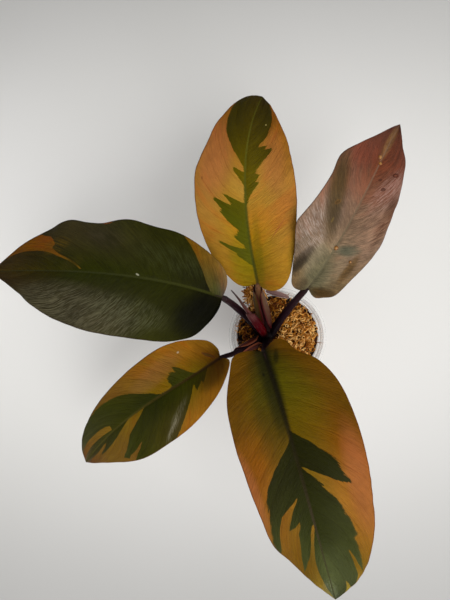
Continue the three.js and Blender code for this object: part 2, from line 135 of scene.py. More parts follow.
@dataclass
class Line:
    """Line through points, read by the share of its length."""

    points: np.ndarray

    def __post_init__(self) -> None:
        """Measure the line."""
        steps = np.linalg.norm(np.diff(self.points, axis=0), axis=1)
        self.at = np.concatenate([[0.0], np.cumsum(steps)])
        self.length = float(self.at[-1])

    def point(self, share: np.ndarray | float) -> np.ndarray:
        """Give the point at a share of the length."""
        place = np.clip(np.asarray(share, float), 0, 1) * self.length
        return np.stack([np.interp(place, self.at, axis) for axis in self.points.T], -1)

    def tangent(self, share: np.ndarray | float, reach: float = 0.004) -> np.ndarray:
        """Give the unit direction at a share of the length."""
        share = np.asarray(share, float)
        way = self.point(share + reach) - self.point(share - reach)
        return way / np.linalg.norm(way, axis=-1, keepdims=True)


def hermite(b: np.ndarray, c: np.ndarray, start: np.ndarray, end: np.ndarray, t: np.ndarray) -> np.ndarray:
    """Run a cubic from b to c that leaves with one slope and arrives with another."""
    cubic, square = 2 * (b - c) + start + end, 3 * (c - b) - 2 * start - end
    return cubic * t**3 + square * t**2 + start * t + b


def spline_2d(points: Pairs, steps: int = 40) -> Line:
    """Run a uniform Catmull-Rom curve through flat points, as the part's source does.

    Args:
        points: Points on the curve.
        steps: Samples between two points.

    Returns:
        The sampled curve.
    """
    p = np.asarray(points, float)
    t = np.arange(steps)[:, None] / steps
    padded = np.concatenate([p[:1], p, p[-1:]])
    parts = [
        hermite(b, c, (c - a) / 2, (d - b) / 2, t)
        for a, b, c, d in zip(padded, padded[1:], padded[2:], padded[3:])
    ]
    return Line(np.concatenate([*parts, p[-1:]]))


def spline_3d(points: np.ndarray | Path3D, steps: int = 40) -> Line:
    """Run a centripetal Catmull-Rom curve through points in space, as the part's source does.

    Args:
        points: Points on the curve.
        steps: Samples between two points.

    Returns:
        The sampled curve.
    """
    p = np.asarray(points, float)
    t = np.arange(steps)[:, None] / steps
    padded = np.concatenate([[2 * p[0] - p[1]], p, [2 * p[-1] - p[-2]]])
    parts = []
    for a, b, c, d in zip(padded, padded[1:], padded[2:], padded[3:]):
        before, here, after = (np.sqrt(np.linalg.norm(w)) for w in (b - a, c - b, d - c))
        start = ((b - a) / before - (c - a) / (before + here) + (c - b) / here) * here
        end = ((c - b) / here - (d - b) / (here + after) + (d - c) / after) * here
        parts.append(hermite(b, c, start, end, t))
    return Line(np.concatenate([*parts, p[-1:]]))


@dataclass
class Shape:
    """Points and faces of a mesh in millimetres, with named maps that hold a row for each face corner."""

    points: np.ndarray
    faces: list[list[int]]
    maps: dict[str, np.ndarray]
    slots: list[int] = field(default_factory=list)

    @classmethod
    def grid(
        cls, points: np.ndarray, maps: dict[str, np.ndarray], closed: bool = False, capped: bool = False
    ) -> "Shape":
        """Make a shape of a grid of points, with the faces to the right of the rows' direction.

        Args:
            points: Grid of rows and columns of points.
            maps: Grids of rows and columns of map places, with one more column than points if closed.
            closed: Join the last column to the first.
            capped: Close the first and the last row with flat faces.

        Returns:
            The shape, with its faces in material slot 0.
        """
        rows, columns = points.shape[:2]
        wide = columns if closed else columns - 1
        cells = np.meshgrid(np.arange(rows - 1), np.arange(wide), indexing="ij")
        row, column = (axis.ravel() for axis in cells)
        corners = [(row, column), (row, column + 1), (row + 1, column + 1), (row + 1, column)]
        quads = np.stack([r * columns + c % columns for r, c in corners], 1).tolist()
        laid = {
            name: np.stack([grid[r, c] for r, c in corners], 1).reshape(-1, 2) for name, grid in maps.items()
        }
        if capped:
            quads += [list(range(columns))[::-1], [(rows - 1) * columns + c for c in range(columns)]]
            for name, grid in maps.items():
                laid[name] = np.concatenate([laid[name], grid[0, :columns][::-1], grid[-1, :columns]])
        return cls(points.reshape(-1, 3), quads, laid, [0] * len(quads))

    def joined(self, other: "Shape") -> "Shape":
        """Put this shape and another, with the same maps, in one."""
        count = len(self.points)
        return Shape(
            np.concatenate([self.points, other.points]),
            self.faces + [[i + count for i in face] for face in other.faces],
            {name: np.concatenate([values, other.maps[name]]) for name, values in self.maps.items()},
            self.slots + other.slots,
        )

    def build(self, name: str, materials: list[bpy.types.Material], weld: bool = False) -> bpy.types.Object:
        """Make the Blender object.

        Args:
            name: Name of the object and its mesh.
            materials: Material of each slot.
            weld: Join points that fall together.

        Returns:
            The object, linked to the scene, with smooth faces.
        """
        mesh = bpy.data.meshes.new(name)
        mesh.from_pydata((self.points * MM).tolist(), [], self.faces)
        for map_name, values in self.maps.items():
            layer = mesh.uv_layers.new(name=map_name)
            layer.uv.foreach_set("vector", values.astype(np.float32).ravel())
        mesh.polygons.foreach_set("material_index", np.array(self.slots, np.int32))
        mesh.polygons.foreach_set("use_smooth", np.ones(len(self.faces), bool))
        if weld:
            work = bmesh.new()
            work.from_mesh(mesh)
            bmesh.ops.remove_doubles(work, verts=work.verts, dist=2e-6)
            work.to_mesh(mesh)
            work.free()
        for material in materials:
            mesh.materials.append(material)
        made = bpy.data.objects.new(name, mesh)
        bpy.context.scene.collection.objects.link(made)
        return made


def dress(piece: bpy.types.Object, node: str) -> None:
    """Let a piece stand for a CAD node and ride with the plant.

    Args:
        piece: Finished object.
        node: CAD node that it replaces.
    """
    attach(piece, ROOT)
    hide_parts(node)
    LOG.info("%s: %d faces for %s", piece.name, len(piece.data.polygons), node)


@dataclass(frozen=True)
class Signal:
    """Number that a node gives out; a sum with it adds a math node."""

    steps: "Steps"
    socket: bpy.types.NodeSocket

    def __add__(self, other: object) -> "Signal":
        """Add a number."""
        return self.steps.math("ADD", self, other)

    def __sub__(self, other: object) -> "Signal":
        """Take a number away."""
        return self.steps.math("SUBTRACT", self, other)

    def __rsub__(self, other: object) -> "Signal":
        """Take this away from a number."""
        return self.steps.math("SUBTRACT", other, self)

    def __mul__(self, other: object) -> "Signal":
        """Multiply by a number."""
        return self.steps.math("MULTIPLY", self, other)

    def __truediv__(self, other: object) -> "Signal":
        """Divide by a number."""
        return self.steps.math("DIVIDE", self, other)

    def __abs__(self) -> "Signal":
        """Drop the sign."""
        return self.steps.math("ABSOLUTE", self)


class Steps:
    """Adds nodes to a node tree, so that a material reads as a list of steps."""

    def __init__(self, tree: bpy.types.NodeTree) -> None:
        """Work in this tree."""
        self.tree = tree

    def add(self, kind: str, inputs: dict | None = None, **settings: object) -> bpy.types.Node:
        """Add a node.

        Args:
            kind: Type of the node.
            inputs: Value, signal or socket for each input, by its name or number.
            settings: Properties of the node.

        Returns:
            The node.
        """
        node = self.tree.nodes.new(kind)
        for name, value in settings.items():
            setattr(node, name, value)
        for key, value in (inputs or {}).items():
            self.put(node.inputs[key], value)
        return node

    def put(self, socket: bpy.types.NodeSocket, value: object) -> None:
        """Link a socket to an output, or set its value."""
        value = value.socket if isinstance(value, Signal) else value
        if isinstance(value, bpy.types.NodeSocket):
            self.tree.links.new(value, socket)
        else:
            socket.default_value = value

    def read(self, socket: bpy.types.NodeSocket) -> Signal:
        """Take a number from an output."""
        return Signal(self, socket)

    def math(self, operation: str, first: object, second: object = 0.0, clamp: bool = False) -> Signal:
        """Work out a sum of two numbers."""
        node = self.add("ShaderNodeMath", {0: first, 1: second}, operation=operation, use_clamp=clamp)
        return self.read(node.outputs[0])

    def between(
        self, value: object, low: object, high: object, out: tuple[float, float] = (0.0, 1.0)
    ) -> Signal:
        """Go smoothly from out's first number at low to its second at high."""
        numbers = dict(enumerate((value, low, high, *out)))
        return self.read(self.add("ShaderNodeMapRange", numbers, interpolation_type="SMOOTHSTEP").outputs[0])

    def mix(self, factor: object, first: object, second: object, blend: str = "MIX") -> bpy.types.NodeSocket:
        """Mix two colours."""
        inputs = {"Factor": factor, 6: first, 7: second}
        return self.add("ShaderNodeMix", inputs, data_type="RGBA", blend_type=blend).outputs[2]

    def tint(self, colour: object, other: object) -> bpy.types.NodeSocket:
        """Multiply two colours."""
        return self.mix(1.0, colour, other, "MULTIPLY")

    def ramp(self, value: object, stops: Stops) -> bpy.types.NodeSocket:
        """Read a colour ramp."""
        node = self.add("ShaderNodeValToRGB", {0: value})
        elements = node.color_ramp.elements
        while len(elements) < len(stops):
            elements.new(0.5)
        for element, (place, code) in zip(elements, stops):
            element.position = place
            element.color = linear(code)
        return node.outputs[0]

    def curve(self, value: object, points: Pairs) -> Signal:
        """Read a curve with straight stretches through points within 0 and 1."""
        node = self.add("ShaderNodeFloatCurve", {"Value": value})
        node.mapping.extend = "HORIZONTAL"
        line = node.mapping.curves[0]
        line.points[0].location = points[0]
        line.points[1].location = points[-1]
        for place in points[1:-1]:
            line.points.new(*place)
        for point in line.points:
            point.handle_type = "VECTOR"
        node.mapping.update()
        return self.read(node.outputs[0])

    def noise(self, vector: object, scale: float, detail: float = 2.0, rough: float = 0.5) -> Signal:
        """Read soft noise about 0.5."""
        inputs = {"Vector": vector, "Scale": scale, "Detail": detail, "Roughness": rough}
        return self.read(self.add("ShaderNodeTexNoise", inputs).outputs[0])

    def spread(self, u: object, v: object, w: object = 0.0) -> bpy.types.NodeSocket:
        """Put three numbers in a vector."""
        return self.add("ShaderNodeCombineXYZ", {0: u, 1: v, 2: w}).outputs[0]

    def split(self, vector: bpy.types.NodeSocket) -> list[Signal]:
        """Take the three numbers of a vector."""
        return [self.read(socket) for socket in self.add("ShaderNodeSeparateXYZ", {0: vector}).outputs]

    def scale(self, colour: object, factor: object) -> bpy.types.NodeSocket:
        """Multiply a colour by a number."""
        return self.add("ShaderNodeVectorMath", {0: colour, "Scale": factor}, operation="SCALE").outputs[0]

    def far_from(self, place: object, spot: tuple[float, float, float]) -> Signal:
        """Give the distance from a spot, in metres."""
        node = self.add("ShaderNodeVectorMath", {0: place, 1: spot}, operation="DISTANCE")
        return self.read(node.outputs["Value"])

    def map_place(self, name: str) -> list[Signal]:
        """Read both numbers of a UV map."""
        return self.split(self.add("ShaderNodeUVMap", uv_map=name).outputs[0])[:2]

    def object_place(self) -> bpy.types.NodeSocket:
        """Read the place in the object, in metres."""
        return self.add("ShaderNodeTexCoord").outputs["Object"]

    def bump(self, height: object, depth: float) -> bpy.types.NodeSocket:
        """Make a normal from a height; depth is in millimetres."""
        return self.add("ShaderNodeBump", {"Height": height, "Distance": depth * MM}).outputs[0]


@dataclass(frozen=True)
class Surface:
    """Shader numbers that are the same all over a finish."""

    roughness: float = 0.45
    specular: float = 0.5
    ior: float = 1.45

    def material(self, name: str) -> tuple[bpy.types.Material, Steps, bpy.types.Node]:
        """Make a material with these numbers.

        Args:
            name: Name of the material.

        Returns:
            The material, the steps to add nodes with, and its shader node.
        """
        made = bpy.data.materials.new(name)
        made.use_nodes = True
        shader = made.node_tree.nodes["Principled BSDF"]
        shader.inputs["Roughness"].default_value = self.roughness
        shader.inputs["Specular IOR Level"].default_value = self.specular
        shader.inputs["IOR"].default_value = self.ior
        return made, Steps(made.node_tree), shader


# Leaves


@dataclass(frozen=True)
class Band:
    """Pale stretch within the green: rows of (step along the vein, lowest and highest margin share)."""

    rows: tuple[tuple[float, float, float], ...]

    def edge(self, which: int) -> Pairs:
        """Give one edge as a curve over the step along the vein."""
        return tuple((row[0], row[which]) for row in self.rows)


@dataclass(frozen=True)
class HalfPattern:
    """Green of one half: how far it reaches out along each vein, less the pale bands in it."""

    reach: Pairs
    bands: tuple[Band, ...] = ()


class Edge(Enum):
    """How a mark ends: at a line, softly, or softly and broken up by the streaks of the veins."""

    HARD = 0
    SOFT = 1
    STREAKED = 2


@dataclass(frozen=True)
class Oval:
    """Oval on a blade, in flat millimetres, with its turn in degrees."""

    x: float
    y: float
    length: float
    width: float
    turn: float

    def far(self, x: object, y: object) -> object:
        """Give the squared distance of flat places from its middle, in its own length and width."""
        turn = math.radians(self.turn)
        dx, dy = x - self.x, y - self.y
        along = (dx * math.sin(turn) + dy * math.cos(turn)) / self.length
        aside = (dx * math.cos(turn) - dy * math.sin(turn)) / self.width
        return along * along + aside * aside


@dataclass(frozen=True)
class Mark(Oval):
    """Mark of another colour, over the green or under it."""

    colour: str
    strength: float = 0.8
    edge: Edge = Edge.HARD
    under: bool = False

    def cover(self, steps: Steps, x: Signal, y: Signal, streak: Signal) -> Signal:
        """Give how much of the mark shows.

        Args:
            steps: Steps of the material.
            x: Flat place across the blade.
            y: Flat place along the blade.
            streak: Streaks along the fine veins, which break up a streaked mark.

        Returns:
            The share of the mark's colour.
        """
        span = (0.45, 1.3) if self.edge is Edge.HARD else (0.0, 1.7)
        cover = steps.between(self.far(x, y) * 4, *span, (self.strength, 0.0))
        return cover * steps.between(streak, 0.4, 0.62) if self.edge is Edge.STREAKED else cover


@dataclass(frozen=True)
class Dent(Oval):
    """Hollow or swelling of a blade."""

    depth: float

    def height(self, x: np.ndarray, y: np.ndarray) -> np.ndarray:
        """Give how far the blade is raised at flat places."""
        return -self.depth * np.exp(-self.far(x, y))


@dataclass(frozen=True)
class LeafFinish:
    """Colours of a blade along it, near its midrib and near its margin, and where it is green."""

    pale_inner: Stops
    pale_outer: Stops
    green_inner: Stops
    green_outer: Stops
    left: HalfPattern
    right: HalfPattern
    rib: Stops
    margin: str
    under: str
    marks: tuple[Mark, ...] = ()
    surface: Surface = Surface(roughness=0.36, specular=0.055)
    rib_width: tuple[float, float] = (1.6, 0.5)
    rib_strength: float = 0.8
    blur: float = 0.012
    band_blur: float = 0.0015
    teeth: float = 0.2
    band_teeth: float = 0.12
    streaks: float = 0.13
    veins: float = 15.0
    lines: float = 0.3
    line_tint: str = "b4885c"
    blush: Pairs = ((0.0, 0.3), (1.0, 0.3))
    blush_tint: str = "ff9c76"

    def green(self, steps: Steps, share: Signal, out: Signal, fine: Signal, pattern: HalfPattern) -> Signal:
        """Add the steps that tell where one half is green.

        Args:
            steps: Steps of the material.
            share: Margin share of the vein.
            out: Step along the vein.
            fine: Margin share of the fine vein.
            pattern: Green of this half.

        Returns:
            A mask of the green.
        """
        teeth = steps.noise(steps.spread(fine, out * 0.03), 230, 3.0, 0.8) - 0.5
        reach = steps.curve(share, pattern.reach) * FULL_REACH + teeth * self.teeth
        mask = steps.between(reach - out, -self.blur, self.blur)
        for band in pattern.bands:
            low, high = (steps.curve(out, band.edge(which)) for which in (1, 2))
            first = band.rows[0][0]
            inside = steps.between(out + teeth * self.band_teeth, first - 0.005, first + 0.01)
            for depth in (share - low, high - share):
                inside = inside * steps.between(depth, -self.band_blur, self.band_blur)
            mask = mask * (1.0 - inside)
        return mask

    def marked(
        self, steps: Steps, colour: object, flat: tuple[Signal, Signal], streak: Signal, under: bool
    ) -> bpy.types.NodeSocket:
        """Lay the marks over a colour.

        Args:
            steps: Steps of the material.
            colour: Colour so far.
            flat: Flat place, across and along the blade.
            streak: Streaks along the fine veins.
            under: Lay the marks that lie under the green, or else the others.

        Returns:
            The colour with the marks.
        """
        for mark in self.marks:
            if mark.under is under:
                colour = steps.mix(mark.cover(steps, *flat, streak), colour, linear(mark.colour))
        return colour

    def top(self, name: str) -> bpy.types.Material:
        """Make the material of the upper face.

        Args:
            name: Name of the leaf.

        Returns:
            The material.
        """
        made, steps, shader = self.surface.material(f"leaf_{name}_top")
        share, across = steps.map_place("vein")
        flat_x, flat_y = steps.map_place("flat")
        fine, _ = steps.map_place("fine")
        flat = (flat_x - 0.5) * FLAT_WIDTH, flat_y * FLAT_LENGTH - FLAT_START
        place = steps.object_place()
        out = abs(across - 0.5) * 2.0
        right = steps.math("GREATER_THAN", across, 0.5)
        side = right * 0.37
        main = steps.noise(steps.spread(fine, out * 0.06, side), 26, 2.0)
        streak = steps.noise(steps.spread(fine, out * 0.03, side), 210, 3.0, 0.7)
        cloud, speck = steps.noise(place, 34, 3.0), steps.noise(place, 520, 2.0)

        # Pale ground with its blush, and the green over it
        near = share + (steps.noise(place, 90, 3.0) - 0.5) * 0.012
        first, second = (self.green(steps, near, out, fine, half) for half in (self.left, self.right))
        mask = first + right * (second - first)
        edgeways = steps.between(out, 0.02, 0.85)
        pale = steps.mix(edgeways, steps.ramp(share, self.pale_inner), steps.ramp(share, self.pale_outer))
        green = steps.mix(edgeways, steps.ramp(share, self.green_inner), steps.ramp(share, self.green_outer))
        patch = steps.noise(place, 17, 2.0) + (main - 0.5) * 0.8
        blush = steps.between(patch, 0.46, 0.72) * steps.curve(share, self.blush)
        pale = steps.mix(blush, pale, steps.tint(pale, linear(self.blush_tint)))
        pale = self.marked(steps, pale, flat, streak, under=True)
        colour = self.marked(steps, steps.mix(mask, pale, green), flat, streak, under=False)

        # Streaks, side veins, rib and margin
        shade = streak * 1.3 + main * 0.6 + cloud * 0.6 + speck * 0.25
        middle = (1.3 + 0.6 + 0.6 + 0.25) / 2
        span = (1 - self.streaks, 1 + self.streaks)
        colour = steps.scale(colour, steps.between(shade, middle - 0.32, middle + 0.32, span))
        ridge = abs(steps.math("SINE", fine * (math.pi * self.veins)))
        line = steps.between(ridge, 0.0, 0.16, (self.lines, 0.0)) * steps.between(out, 0.05, 0.2)
        line = line * steps.between(out, 0.75, 1.0, (1.0, 0.0))
        colour = steps.mix(line, colour, steps.tint(colour, linear(self.line_tint)))
        width = steps.between(flat_y, 0.06, 0.85, self.rib_width)
        on_rib = steps.between(abs(flat[0]), width * 0.4, width * 1.5, (self.rib_strength, 0.0))
        colour = steps.mix(on_rib, colour, steps.ramp(flat_y, self.rib))
        colour = steps.mix(steps.between(out, 0.978, 0.998, (0.0, 0.7)), colour, linear(self.margin))
        steps.put(shader.inputs["Base Color"], colour)
        steps.put(shader.inputs["Normal"], steps.bump(streak + main * 0.9 + speck * 0.12, 1.3))
        rough = self.surface.roughness
        steps.put(shader.inputs["Roughness"], steps.between(streak, 0.3, 0.7, (rough - 0.05, rough + 0.07)))
        return made

    def bottom(self, name: str) -> bpy.types.Material:
        """Make the material of the lower face: duller, with the pattern faint."""
        made, steps, shader = Surface(roughness=0.55, specular=0.15).material(f"leaf_{name}_under")
        share, across = steps.map_place("vein")
        streak = steps.noise(steps.spread(share, abs(across - 0.5) * 0.04), 110, 3.0, 0.6)
        cloud = steps.between(steps.noise(steps.object_place(), 26, 3.0), 0.4, 0.6)
        tone = steps.mix(cloud, linear(self.under), steps.ramp(share, self.pale_inner))
        tone = steps.mix(0.65, tone, linear(self.under))
        shade = steps.ramp(streak, ((0.3, "b8b2ac"), (0.7, "ffffff")))
        steps.put(shader.inputs["Base Color"], steps.tint(tone, shade))
        steps.put(shader.inputs["Normal"], steps.bump(streak, 0.3))
        return made


FLAT_WIDTH = 160.0  # width that the flat map covers
FLAT_LENGTH = 260.0
FLAT_START = 20.0  # length of the flat map before the stalk
TUBE_START = (0.31, 0.95, 0.05)  # direction that the first point of a tube's section lies near
LOBE_SHARE = 0.12
FIRST_VEIN_SHARE = 0.04
VEIN_LAG = 1.5
VEIN_ARCH = 0.07
BEND_SPAN = 50.0
WAVE_SPAN = 45.0
RIB_SHARES = (0, 0.06, 0.2, 0.4, 0.6, 0.8, 0.92)
RIB_RADII = (2.3, 0.6)
RIB_DROP = 0.9
RIB_SINK = 1.0  # how much lower the rib lies here, so that it stays under the groove
NECK_LENGTH = 6.0


def tube(
    line: Line,
    radii: np.ndarray,
    sides: int,
    span: tuple[float, float] = (0.0, 1.0),
    out: np.ndarray | None = None,
) -> Shape:
    """Sweep a round section along a line.

    Args:
        line: Middle line of the tube.
        radii: Radius at each row, evenly spread over the span.
        sides: Points round the section.
        span: Shares of the line where the tube starts and ends.
        out: Grid of rows and sides that multiplies the radius, or none for a round section.

    Returns:
        A closed tube with a skin map of (share round it, share along it).
    """
    rows = len(radii)
    share = np.linspace(*span, rows)
    centres, along = line.point(share), line.tangent(share)
    across = np.empty_like(along)
    last = np.array(TUBE_START)
    for i, way in enumerate(along):
        last = last - way * (last @ way)
        last /= np.linalg.norm(last)
        across[i] = last
    other = np.cross(along, across)
    angle = ring_angles(sides)[None, :, None]
    reach = radii[:, None] * (np.ones((rows, sides)) if out is None else out)
    ring = across[:, None] * np.cos(angle) + other[:, None] * np.sin(angle)
    points = centres[:, None] + reach[..., None] * ring
    return Shape.grid(points, skin_map(rows, sides), closed=True, capped=True)


@dataclass
class LeafBlade:
    """One leaf: the blade with its rib and neck, and the stalk that carries it."""

    name: str
    slot: str
    stalk: Path3D
    midrib: Path3D
    left: Pairs
    right: Pairs
    rise: tuple[float, float]
    bend: tuple[float, float]
    roll: tuple[float, float]
    waves: tuple[tuple[float, float, float], tuple[float, float, float]]
    stalk_radii: tuple[float, ...]
    finish: LeafFinish
    seed: int
    rows: int = 170
    columns: int = 34
    thickness: float = 0.62
    quilting: float = 0.45
    dents: tuple[Dent, ...] = ()

    def __post_init__(self) -> None:
        """Sample the midrib and both margins."""
        t = np.linspace(0, 1, 401)[:, None]
        p = np.asarray(self.midrib, float)
        start = (1 - t) ** 3 * p[0] + 3 * (1 - t) ** 2 * t * p[1]
        end = 3 * (1 - t) * t**2 * p[2] + t**3 * p[3]
        self.mid = Line(start + end)
        self.margins = {Half.LEFT: spline_2d(self.left), Half.RIGHT: spline_2d(self.right)}

    def frame(self, y: np.ndarray) -> tuple[np.ndarray, np.ndarray, np.ndarray]:
        """Give the place, the direction across and the normal on the midrib line.

        Args:
            y: Distance along the midrib, which runs on straight past its ends.

        Returns:
            Points, directions across and normals.
        """
        y = np.asarray(y, float)
        share = np.clip(y / self.mid.length, 0, 1)
        along = self.mid.tangent(share)
        point = self.mid.point(share) + along * (y - share * self.mid.length)[..., None]
        across = np.cross(along, UP)
        across /= np.linalg.norm(across, axis=-1, keepdims=True)
        normal = np.cross(across, along)
        roll = np.radians(read_evenly(self.roll, share))[..., None]
        rolled = across * np.cos(roll) + normal * np.sin(roll)
        return point, rolled, normal * np.cos(roll) - across * np.sin(roll)

    def place(self, x: np.ndarray, y: np.ndarray) -> np.ndarray:
        """Lift flat points into space."""
        share = np.clip(y / self.mid.length, 0, 1)
        point, across, normal = self.frame(y)
        rise = np.radians(read_evenly(self.rise, share))
        turn = np.radians(read_evenly(self.bend, share)) / BEND_SPAN
        away = np.abs(x)
        waves = np.where((x > 0)[..., None], self.waves[1], self.waves[0])
        height, length, start = np.moveaxis(waves, -1, 0)
        wave = height * (away / WAVE_SPAN) ** 2 * np.sin(2 * math.pi * (y / length + start))
        out = (np.sin(rise) - np.sin(rise - turn * away)) / turn
        up = (np.cos(rise - turn * away) - np.cos(rise)) / turn + wave
        return point + across * (np.sign(x) * out)[..., None] + normal * up[..., None]

    def normal(self, x: np.ndarray, y: np.ndarray) -> np.ndarray:
        """Give the unit normals of the lifted blade."""
        step = 0.5
        across = self.place(x + step, y) - self.place(x - step, y)
        along = self.place(x, y + step) - self.place(x, y - step)
        normal = np.cross(across, along)
        return normal / np.linalg.norm(normal, axis=-1, keepdims=True)

    def on_vein(self, half: Half, share: np.ndarray, step: np.ndarray) -> tuple[np.ndarray, np.ndarray]:
        """Give the flat place that is a step along the vein that ends at a share of the margin."""
        reach = np.maximum(0, (share - LOBE_SHARE) / (1 - LOBE_SHARE))
        start = np.stack([np.zeros_like(reach), self.mid.length * reach**VEIN_LAG], -1)
        end = self.margins[half].point(share)
        middle = (start + end) / 2
        middle[..., 1] -= VEIN_ARCH * np.linalg.norm(end - start, axis=-1)
        t = step[..., None]
        flat = (1 - t) ** 2 * start + 2 * (1 - t) * t * middle + t * t * end
        return flat[..., 0], flat[..., 1]

    def fine_vein(
        self, half: Half, share: np.ndarray, step: np.ndarray, x: np.ndarray, y: np.ndarray
    ) -> np.ndarray:
        """Give the margin share of the fine vein, which leans more to the tip than the pattern's lines."""
        lean = 0.13 * smooth(share, 0.4, 0.85) * step**2
        return share - lean + 0.005 * ripples(np.stack([x, y], -1), 50, self.seed + 7) + 0.013 * half.value

    def relief(
        self, share: np.ndarray, step: np.ndarray, x: np.ndarray, y: np.ndarray, fine: np.ndarray
    ) -> np.ndarray:
        """Give the height of the fine forms: groove on the rib, swelling between veins and rippled margin."""
        between = np.abs(np.sin(math.pi * self.finish.veins * fine))
        swell = self.quilting * (between**0.7 - 0.6) * smooth(step, 0.02, 0.3) * (1 - smooth(step, 0.75, 1))
        groove = -0.55 * np.exp(-((x / 1.1) ** 2)) + 0.22 * np.exp(-(((np.abs(x) - 2.6) / 1.1) ** 2))
        groove *= 1 - 0.8 * smooth(y / self.mid.length, 0.2, 0.95)
        soft = 0.55 * ripples(np.stack([x, y], -1), 38, self.seed) * smooth(step, 0.1, 0.8)
        rippled = 0.35 * step**4 * ripples(np.stack([x, y], -1), 16, self.seed + 3)
        hollow = sum((dent.height(x, y) for dent in self.dents), np.zeros_like(x))
        return (swell + groove + soft + rippled + hollow) * (1 - smooth(share, 0.94, 1))

    def half_shape(self, half: Half) -> Shape:
        """Make one half: over the top from the midrib to the margin, round it and back below."""
        rows = np.concatenate([[FIRST_VEIN_SHARE], np.linspace(FIRST_VEIN_SHARE, 1, self.rows)])
        over = np.linspace(0, 1, self.columns) ** 0.9
        steps = np.concatenate([over, [1.0], over[::-1]])
        level = np.concatenate([np.ones(self.columns), [0.0], -np.ones(self.columns)])
        share, step = np.meshgrid(rows, steps, indexing="ij")
        x, y = self.on_vein(half, share, step)
        taper = (1 - 0.8 * smooth(step, 0.75, 1)) * (1 - 0.8 * smooth(share, 0.95, 1))
        taper[0] = 0
        taper[-1] = 0
        fine = self.fine_vein(half, share, step, x, y)
        offset = self.relief(share, step, x, y, fine) + level * self.thickness / 2 * taper
        points = self.place(x, y) + self.normal(x, y) * offset[..., None]
        vein = np.stack([share, 0.5 + 0.5 * half.sign * step], -1)
        flat = np.stack([0.5 + x / FLAT_WIDTH, (y + FLAT_START) / FLAT_LENGTH], -1)
        maps = {"vein": vein, "flat": flat, "fine": np.stack([fine, step], -1)}
        if half is Half.RIGHT:
            points = points[:, ::-1]
            maps = {name: grid[:, ::-1] for name, grid in maps.items()}
        shape = Shape.grid(points, maps)
        below = level[:-1] <= 0 if half is Half.LEFT else level[::-1][:-1] < 0
        shape.slots = np.tile(below.astype(int), len(rows) - 1).tolist()
        return shape

    def spine(self) -> tuple[Line, float, float]:
        """Give the line of stalk and rib, its share at the cut before the neck, and that at the joint."""
        share = np.asarray(RIB_SHARES)
        point, _, normal = self.frame(share * self.mid.length)
        drop = RIB_DROP * read_evenly(RIB_RADII, share) + RIB_SINK * smooth(share, -0.08, 0.02)
        rib = point - normal * drop[:, None]
        steps = 40
        line = spline_3d(np.concatenate([np.asarray(self.stalk, float), rib]), steps)
        joint = line.at[steps * len(self.stalk)]
        return line, (joint - NECK_LENGTH) / line.length, joint / line.length

    def build(self, stalk_skin: bpy.types.Material, rib_skin: bpy.types.Material) -> None:
        """Make and dress the blade and the stalk.

        Args:
            stalk_skin: Material of the stalk.
            rib_skin: Material of the neck and the rib.
        """
        line, cut, joint = self.spine()
        shape = self.half_shape(Half.LEFT).joined(self.half_shape(Half.RIGHT))
        start = cut - 0.004
        share = np.linspace(start, 1, 90)
        ribbed = read_evenly(RIB_RADII, (share - joint) / (1 - joint))
        radii = np.where(share < joint, self.stalk_radii[-1], ribbed)
        radii = np.convolve(np.pad(radii, 2, "edge"), np.ones(5) / 5, "valid")
        rib = tube(line, radii, 20, (start, 1.0))
        rib.maps = {name: rib.maps["skin"] for name in shape.maps}
        rib.slots = [2] * len(rib.faces)
        skins = [self.finish.top(self.name), self.finish.bottom(self.name), rib_skin]
        blade = shape.joined(rib).build(f"leaf_{self.name}", skins, weld=True)
        dress(blade, f"blade_{self.name}")
        self.build_stalk(line, cut, stalk_skin)

    def build_stalk(self, line: Line, cut: float, skin: bpy.types.Material) -> None:
        """Make the stalk: a swollen foot, faint ridges and a thicker knee under the blade."""
        rows, sides = 80, 36
        along = np.linspace(0, 1, rows)
        radii = read_evenly(self.stalk_radii, along) + 0.18 * np.exp(-(((along - 1) / 0.07) ** 2))
        a, b = np.meshgrid(along, ring_angles(sides), indexing="ij")
        bumps = ripples(np.stack([6 * a, np.cos(b), np.sin(b)], -1), 1.4, self.seed)
        ridges = 0.018 * np.sin(9 * b + 1.5 * np.sin(3 * a)) + 0.02 * bumps
        stalk = tube(line, radii, sides, (0.0, cut + 0.002), 1 + ridges)
        dress(stalk.build(f"stalk_{self.name}", [skin]), f"petiole_{self.name}")


# Where each half is green, as (margin share, reach over the full reach), read off the veins
FULL_REACH = 1.12  # a little past the margin, so that the green closes over it
BACK_LEFT = HalfPattern(
    (
        (0.0, 0.0), (0.28, 0.0), (0.30, 0.05), (0.325, 0.28), (0.34, 0.3), (0.35, 0.56), (0.362, 0.56),
        (0.372, 0.27), (0.39, 0.1), (0.405, 0.13), (0.42, 0.28), (0.44, 0.22), (0.465, 0.18), (0.478, 0.34),
        (0.5, 0.46), (0.515, 0.42), (0.53, 0.56), (0.545, 0.54), (0.553, 0.26), (0.566, 0.27), (0.577, 0.4),
        (0.586, 0.34), (0.595, 0.05), (0.61, 0.02), (0.665, 0.02), (0.675, 0.1), (0.688, 0.28), (0.7, 0.26),
        (0.71, 0.03), (0.725, 0.04), (0.74, 0.14), (0.752, 0.3), (0.765, 0.5), (0.785, 0.64), (0.81, 0.74),
        (0.85, 0.83), (0.9, 0.93), (0.93, 1.0), (1.0, 1.0),
    )
)
